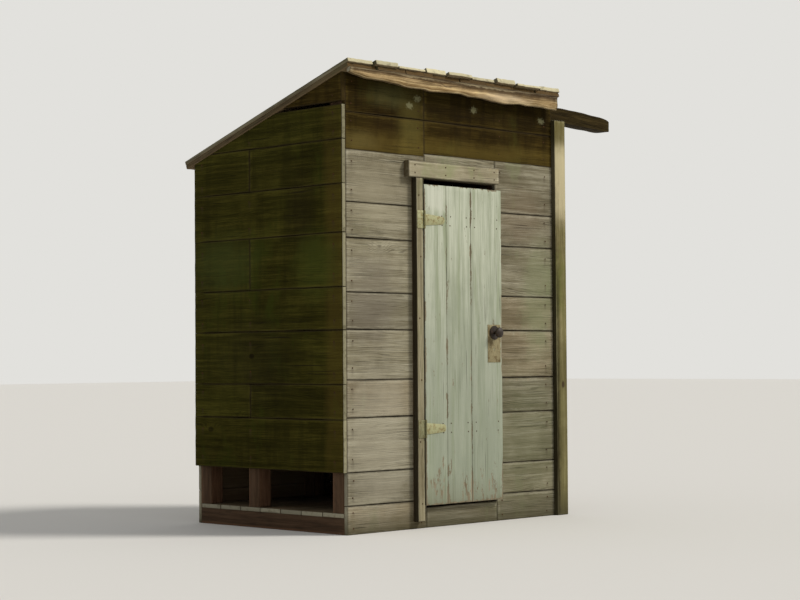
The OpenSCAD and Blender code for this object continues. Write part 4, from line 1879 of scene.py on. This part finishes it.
@dataclass
class Roof:
    """Two layers of boards that run down the slope, and the fascia plank under their front ends."""

    shop: Workshop
    line: RoofLine
    deck_count: int = 8
    deck_gap: float = 0.004
    deck_rim: float = 0.004
    deck_thinner: float = 0.001
    deck_front: Pair = (0.018, 0.034)
    deck_back: Pair = (0.0, 0.02)
    deck_sawing: Sawing = Sawing(0.0015, 0.0003, 0.006)
    cover_rim: float = 0.0045
    cover_thinner: float = 0.0025
    cover_sawing: Sawing = Sawing(0.003, 0.0022, 0.006, rows=(60, 9))
    front_spread: float = 0.5
    nail_share: float = 0.32
    nail_shift: float = 0.012
    nail_sunk: float = 0.001
    nail_radius: float = 0.005
    fascia_sawing: Sawing = Sawing(0.0, 0.0, 0.0, 0.0, (140, 12))
    fascia_ease: float = 0.003
    painted_shadow_reach: float = 0.020
    edge_below: float = 0.012
    wave_rates: tuple[float, ...] = (9.0, 14.3, 23.1, 37.7, 61.0)
    wave_turn: float = 6.28
    wave_size: float = 0.05
    bark_edge: float = 0.30
    bark_depth: float = 0.010
    bark_power: float = 1.5
    ripple: float = 0.0012
    ripple_rates: Pair = (31.0, 9.0)

    def build(self) -> None:
        """Builds the lower boards, the upper boards with their nails, and the fascia."""
        self._deck()
        self._cover()
        self._fascia()

    def _deck(self) -> None:
        """Lays the lower boards."""
        plane = self.line.plane
        low, high = extent(corners("roof_deck"), plane)
        ragged = self.deck_sawing.ragged
        rng = random.Random(11)
        boards = []
        for y0, y1 in between(even(low.y, high.y, self.deck_count), self.deck_gap, self.deck_rim):
            front = low.x + ragged + rng.uniform(*self.deck_front)
            back = high.x - ragged - rng.uniform(*self.deck_back)
            centre = Vector(((front + back) / 2, (y0 + y1) / 2, (low.z + high.z) / 2))
            span = Vector((back - front, y1 - y0, high.z - low.z - self.deck_thinner))
            boards.append(Board(centre, span, self.shop.next_seed()))
        piece = self.shop.lay("roof_deck_boards", boards, plane, SHADED_DECK, self.deck_sawing)
        seat(piece, "house", "roof_boards", "roof_deck")

    def _cover(self) -> None:
        """Lays the upper boards, curled and ragged, and nails them to the timbers."""
        plane = self.line.plane
        cos = math.cos(self.line.pitch)
        timbers = ("front_beam", "roof_purlin", "back_plate")
        lines = [(middle(node, Axis.Y) - self.line.front_y) / cos for node in timbers]
        ragged = self.cover_sawing.ragged
        first = extent(corners("roof_cover"), plane)[0].x
        boards, nails = [], []
        for group in islands("roof_cover"):
            low, high = extent(group, plane)
            low.x = first + (low.x - first) * self.front_spread
            low = low + Vector((ragged, self.cover_rim, 0.0))
            high = high - Vector((ragged, self.cover_rim, self.cover_thinner))
            board = Board((low + high) / 2, high - low, self.shop.next_seed())
            boards.append(board)
            rng = random.Random(board.seed)
            for along in lines:
                for share in (-self.nail_share, self.nail_share):
                    shift = rng.uniform(-self.nail_shift, self.nail_shift)
                    y = board.centre.y + board.span.y * share
                    z = board.centre.z + board.span.z / 2 - self.nail_sunk
                    nails.append(Vector((along + shift, y, z)))
        piece = self.shop.lay("roof_cover_boards", boards, plane, ROOF, self.cover_sawing)
        seat(piece, "house", "roof_boards", "roof_cover")
        self.shop.drive("roof_nails", nails, plane, inputs={"Head radius": self.nail_radius})

    def _fascia(self) -> None:
        """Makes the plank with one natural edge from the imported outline."""
        low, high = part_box("fascia")
        outline = sorted(
            (p.x, p.z) for p in corners("fascia")
            if p.y < low.y + TOUCH and p.z < high.z - self.edge_below)
        piece = self.shop.single("fascia", "plank", FRONT_FACE, self._stained_and_shaded(low, high), self.fascia_sawing)
        rng = random.Random(4)
        waves = [(k, rng.uniform(0, self.wave_turn), self.wave_size / k) for k in self.wave_rates]
        for vertex in piece.data.vertices:
            x = vertex.co.x
            share = (vertex.co.z - low.z) / (high.z - low.z)
            bottom = self._outline_z(outline, x) + sum(a * math.sin(k * x + p) for k, p, a in waves)
            vertex.co.z = bottom + (high.z - bottom) * share
            if vertex.co.y < (low.y + high.y) / 2:
                bark = max(0.0, self.bark_edge - share) / self.bark_edge
                ripple = self.ripple * math.sin(self.ripple_rates[0] * x + self.ripple_rates[1] * share)
                vertex.co.y += self.bark_depth * bark ** self.bark_power + ripple
        self.line.trim(piece)
        eased(piece, self.fascia_ease, 2, HEWN_DEG)
        self.shop.hold(piece)
        seat(piece, "house", "tan_plank", "fascia")

    def _stained_and_shaded(self, low: Vector, high: Vector) -> Wood:
        """Patches the plank's finish: painted shadow along its top under the roof boards' ends, and pale in
        one place.

        Args:
            low: the plank's lowest corner.
            high: its highest corner.

        Returns:
            The finish.
        """
        length = high.x - low.x
        pale_at = (low.x + 0.72 * length, high.z - 0.055)
        return replace(PLANK, patches=(
            Patch(pale_at, (0.20, 0.022), (226, 206, 172), 0.45, 0.7, PatchShape.OVAL),
            # Painted shadow of the roof boards' ends along the plank's top, reaching further down towards its
            # right end.
            Patch(((low.x + high.x) / 2, high.z), (length, self.painted_shadow_reach), (58, 42, 24), 0.80, 0.45),
            Patch((low.x + 0.85 * length, high.z), (0.45 * length, 0.036), (54, 39, 22), 0.75, 0.45),
        ))

    @staticmethod
    def _outline_z(outline: Sequence[Pair], x: float) -> float:
        """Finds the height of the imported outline's lower edge.

        Args:
            outline: the edge's points, from left to right.
            x: the place along it.

        Returns:
            The height.
        """
        for (x0, z0), (x1, z1) in zip(outline, outline[1:]):
            if x0 <= x <= x1 and x1 > x0:
                return z0 + (z1 - z0) * (x - x0) / (x1 - x0)
        return outline[0][1] if x < outline[0][0] else outline[-1][1]


@dataclass
class DoorTrim:
    """The casing on the hinge side and the header board over the door."""

    shop: Workshop
    casing_sawing: Sawing = Sawing(0.0016, 0.0008, rows=(60, 5))
    header_sawing: Sawing = Sawing(0.0016, 0.0008, rows=(40, 5))
    casing_steps: int = 5
    casing_end: float = 0.10
    stagger: float = 0.006
    header_nails: tuple[float, ...] = (0.05, 0.30, -0.22, -0.045)
    header_rim: float = 0.024
    nail_seed: int = 8

    def build(self) -> None:
        """Builds both boards with their nails."""
        casing = self.shop.single("door_casing", "board", UPRIGHT_FRONT, CASING, self.casing_sawing)
        seat(casing, "house", "trim_boards", "door_casing")
        header = self.shop.single("door_header", "board", FRONT_FACE, TRIM, self.header_sawing)
        seat(header, "house", "trim_boards", "door_header")
        low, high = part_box("door_casing")
        x = middle("door_casing", Axis.X)
        levels = even(low.z + self.casing_end, high.z - self.casing_end, self.casing_steps)
        places = [
            on_front(x + self.stagger * (-1) ** number, z, low.y, NAIL_PROUD)
            for number, z in enumerate(levels)
        ]
        low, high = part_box("door_header")
        places += [
            on_front((low.x if reach > 0 else high.x) + reach, z, low.y, NAIL_PROUD)
            for reach in self.header_nails for z in (low.z + self.header_rim, high.z - self.header_rim)
        ]
        self.shop.drive("door_trim_nails", places, FRONT_FACE, inputs={"Pattern seed": self.nail_seed})


@dataclass
class Door:
    """The door: upright painted boards, two ledges and a brace behind, nails, lock plate and knob."""

    shop: Workshop
    seams: tuple[float, ...] = (-0.1005, 0.1035)
    seam_gap: float = 0.0018
    neck_hole: float = 0.011
    leaf_sawing: Sawing = Sawing(0.0008, 0.0006, 0.0015, 0.0016, (60, 7))
    ledge_sawing: Sawing = Sawing(0.0012, 0.0006)
    brace_ease: float = 0.003
    brace_cut: float = 0.01
    nail_side: float = 0.035
    nail_rim: float = 0.022
    nail_shift: float = 0.005
    nail_proud: float = 0.0005
    nail_radius: float = 0.004
    nail_seed: int = 9
    plate_ease: float = 0.0006
    plate_deg: float = 30.0
    knob_deg: float = 42.0
    screw_rim: float = 0.011
    screw_radius: float = 0.0038

    def build(self) -> None:
        """Builds the door's pieces."""
        self._leaf()
        self._ledges()
        self._brace()
        self._nails()
        self._lock_plate()
        self.shop.worn("door_knob", KNOB_METAL, "knob", "knob_iron", self.knob_deg)

    @property
    def edges(self) -> list[float]:
        """The boards' edges along the door."""
        low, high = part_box("door_leaf")
        return [low.x, *self.seams, high.x]

    def _leaf(self) -> None:
        """Lays the upright boards and bores them for the knob's neck."""
        low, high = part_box("door_leaf")
        boards = []
        for x0, x1 in between(self.edges, self.seam_gap):
            corner0, corner1 = Vector((x0, low.y, low.z)), Vector((x1, high.y, high.z))
            boards.append(UPRIGHT_FRONT.board(corner0, corner1, self.shop.next_seed()))
        piece = self.shop.lay("door_boards", boards, UPRIGHT_FRONT, PAINT, self.leaf_sawing)
        low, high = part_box("door_knob")
        bored(piece, (low + high) / 2, self.neck_hole)
        seat(piece, "door", "door_paint", "door_leaf")

    @staticmethod
    def _ledge_levels() -> list[Pair]:
        """Gives the lowest and highest level of each ledge."""
        levels = [[p.z for p in group] for group in islands("door_ledges")]
        return [(min(z), max(z)) for z in levels]

    def _ledges(self) -> None:
        """Lays the two ledges across the back."""
        low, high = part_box("door_ledges")
        boards = []
        for z0, z1 in self._ledge_levels():
            corner0, corner1 = Vector((low.x, low.y, z0)), Vector((high.x, high.y, z1))
            boards.append(BACK_FACE.board(corner0, corner1, self.shop.next_seed()))
        piece = self.shop.lay("door_ledge_boards", boards, BACK_FACE, DOOR_BACK, self.ledge_sawing)
        seat(piece, "door", "door_back_wood", "door_ledges")

    def _brace(self) -> None:
        """Lays the diagonal brace, cut level where it meets the ledges."""
        low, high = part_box("door_brace")
        foot = [p.x for p in corners("door_brace") if p.z < low.z + TOUCH]
        wide = max(foot) - min(foot)
        rise = high.z - low.z
        along = Vector((high.x - low.x - wide, 0, rise)).normalized()
        plane = Plane((low + high) / 2, along, BACK.cross(along))
        span = Vector((rise / along.z + wide, wide * along.z, high.y - low.y))
        board = Board(ORIGIN, span, self.shop.next_seed())
        sawing = replace(self.ledge_sawing, ease=0.0)
        piece = self.shop.lay("door_brace_board", [board], plane, DOOR_BACK, sawing)
        cut_off(piece, high, UP)
        cut_off(piece, low, -UP)
        eased(piece, self.brace_ease)
        mark_ends(piece, UP, self.brace_cut)
        seat(piece, "door", "door_back_wood", "door_brace")

    def _nails(self) -> None:
        """Drives nails through the boards into the ledges."""
        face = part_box("door_leaf")[0].y
        rng = random.Random(21)
        places = [
            on_front(x + rng.uniform(-self.nail_shift, self.nail_shift), z, face, self.nail_proud)
            for z0, z1 in self._ledge_levels()
            for a, b in between(self.edges, 0.0)
            for x in (a + self.nail_side, b - self.nail_side)
            for z in (z0 + self.nail_rim, z1 - self.nail_rim)
        ]
        inputs = {"Head radius": self.nail_radius, "Pattern seed": self.nail_seed}
        self.shop.drive("door_nails", places, FRONT_FACE, "door", inputs)

    def _lock_plate(self) -> None:
        """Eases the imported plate's edges and screws it on."""
        self.shop.worn("lock_plate", LOCK_METAL, "door", "lock_brass", self.plate_deg, self.plate_ease)
        low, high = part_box("lock_plate")
        places = [
            on_front(x, z, low.y, SCREW_PROUD)
            for x in (low.x + self.screw_rim, high.x - self.screw_rim)
            for z in (low.z + self.screw_rim, high.z - self.screw_rim)
        ]
        inputs = {"Head radius": self.screw_radius}
        self.shop.turn_in("lock_plate_screws", places, LOCK_METAL, "door", "lock_brass", inputs)


@dataclass
class StrapHinge:
    """One strap hinge: the fixed plate with its pin, and the strap that turns on it.

    Args:
        shop: the workshop.
        level: the hinge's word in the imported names.
    """

    shop: Workshop
    level: str
    thickness: float = 0.003
    worn_edge: float = 0.0007
    worn_deg: float = 32.0
    plate_holes: Pair = (0.014, 0.042)
    plate_rows: Pair = (-0.036, 0.036)
    strap_start: float = 0.006
    strap_holes: tuple[float, ...] = (0.034, 0.078, 0.120, 0.150)
    strap_seed: int = 6

    def build(self) -> None:
        """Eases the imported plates' edges and screws them on."""
        plate, strap = (f"hinge_{self.level}_{part}" for part in ("plate", "strap"))
        for node, body in ((plate, "house"), (strap, "door")):
            self.shop.worn(node, STRAP_IRON, body, "hinge_iron", self.worn_deg, self.worn_edge)
        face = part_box("door_casing")[0].y - self.thickness
        low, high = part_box(plate)
        z = (low.z + high.z) / 2
        places = [
            on_front(low.x + reach, z + row, face, SCREW_PROUD)
            for reach in self.plate_holes for row in self.plate_rows
        ]
        self.shop.turn_in(f"{plate}_screws", places, STRAP_IRON, "house")
        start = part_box(strap)[0].x + self.strap_start
        places = [on_front(start + reach, z, face, SCREW_PROUD) for reach in self.strap_holes]
        inputs = {"Pattern seed": self.strap_seed}
        self.shop.turn_in(f"{strap}_screws", places, STRAP_IRON, "door", inputs=inputs)


def main() -> None:
    """Builds the stage and every sub-assembly in order."""
    logging.basicConfig(level=logging.INFO, format="%(message)s")
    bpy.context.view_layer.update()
    shop = Workshop()
    roof = RoofLine.read()
    Stage().build()
    Walls(shop, roof).build()
    Frame(shop, roof).build()
    Roof(shop, roof).build()
    DoorTrim(shop).build()
    Door(shop).build()
    for level in ("upper", "lower"):
        StrapHinge(shop, level).build()


if __name__ == "__main__":
    main()
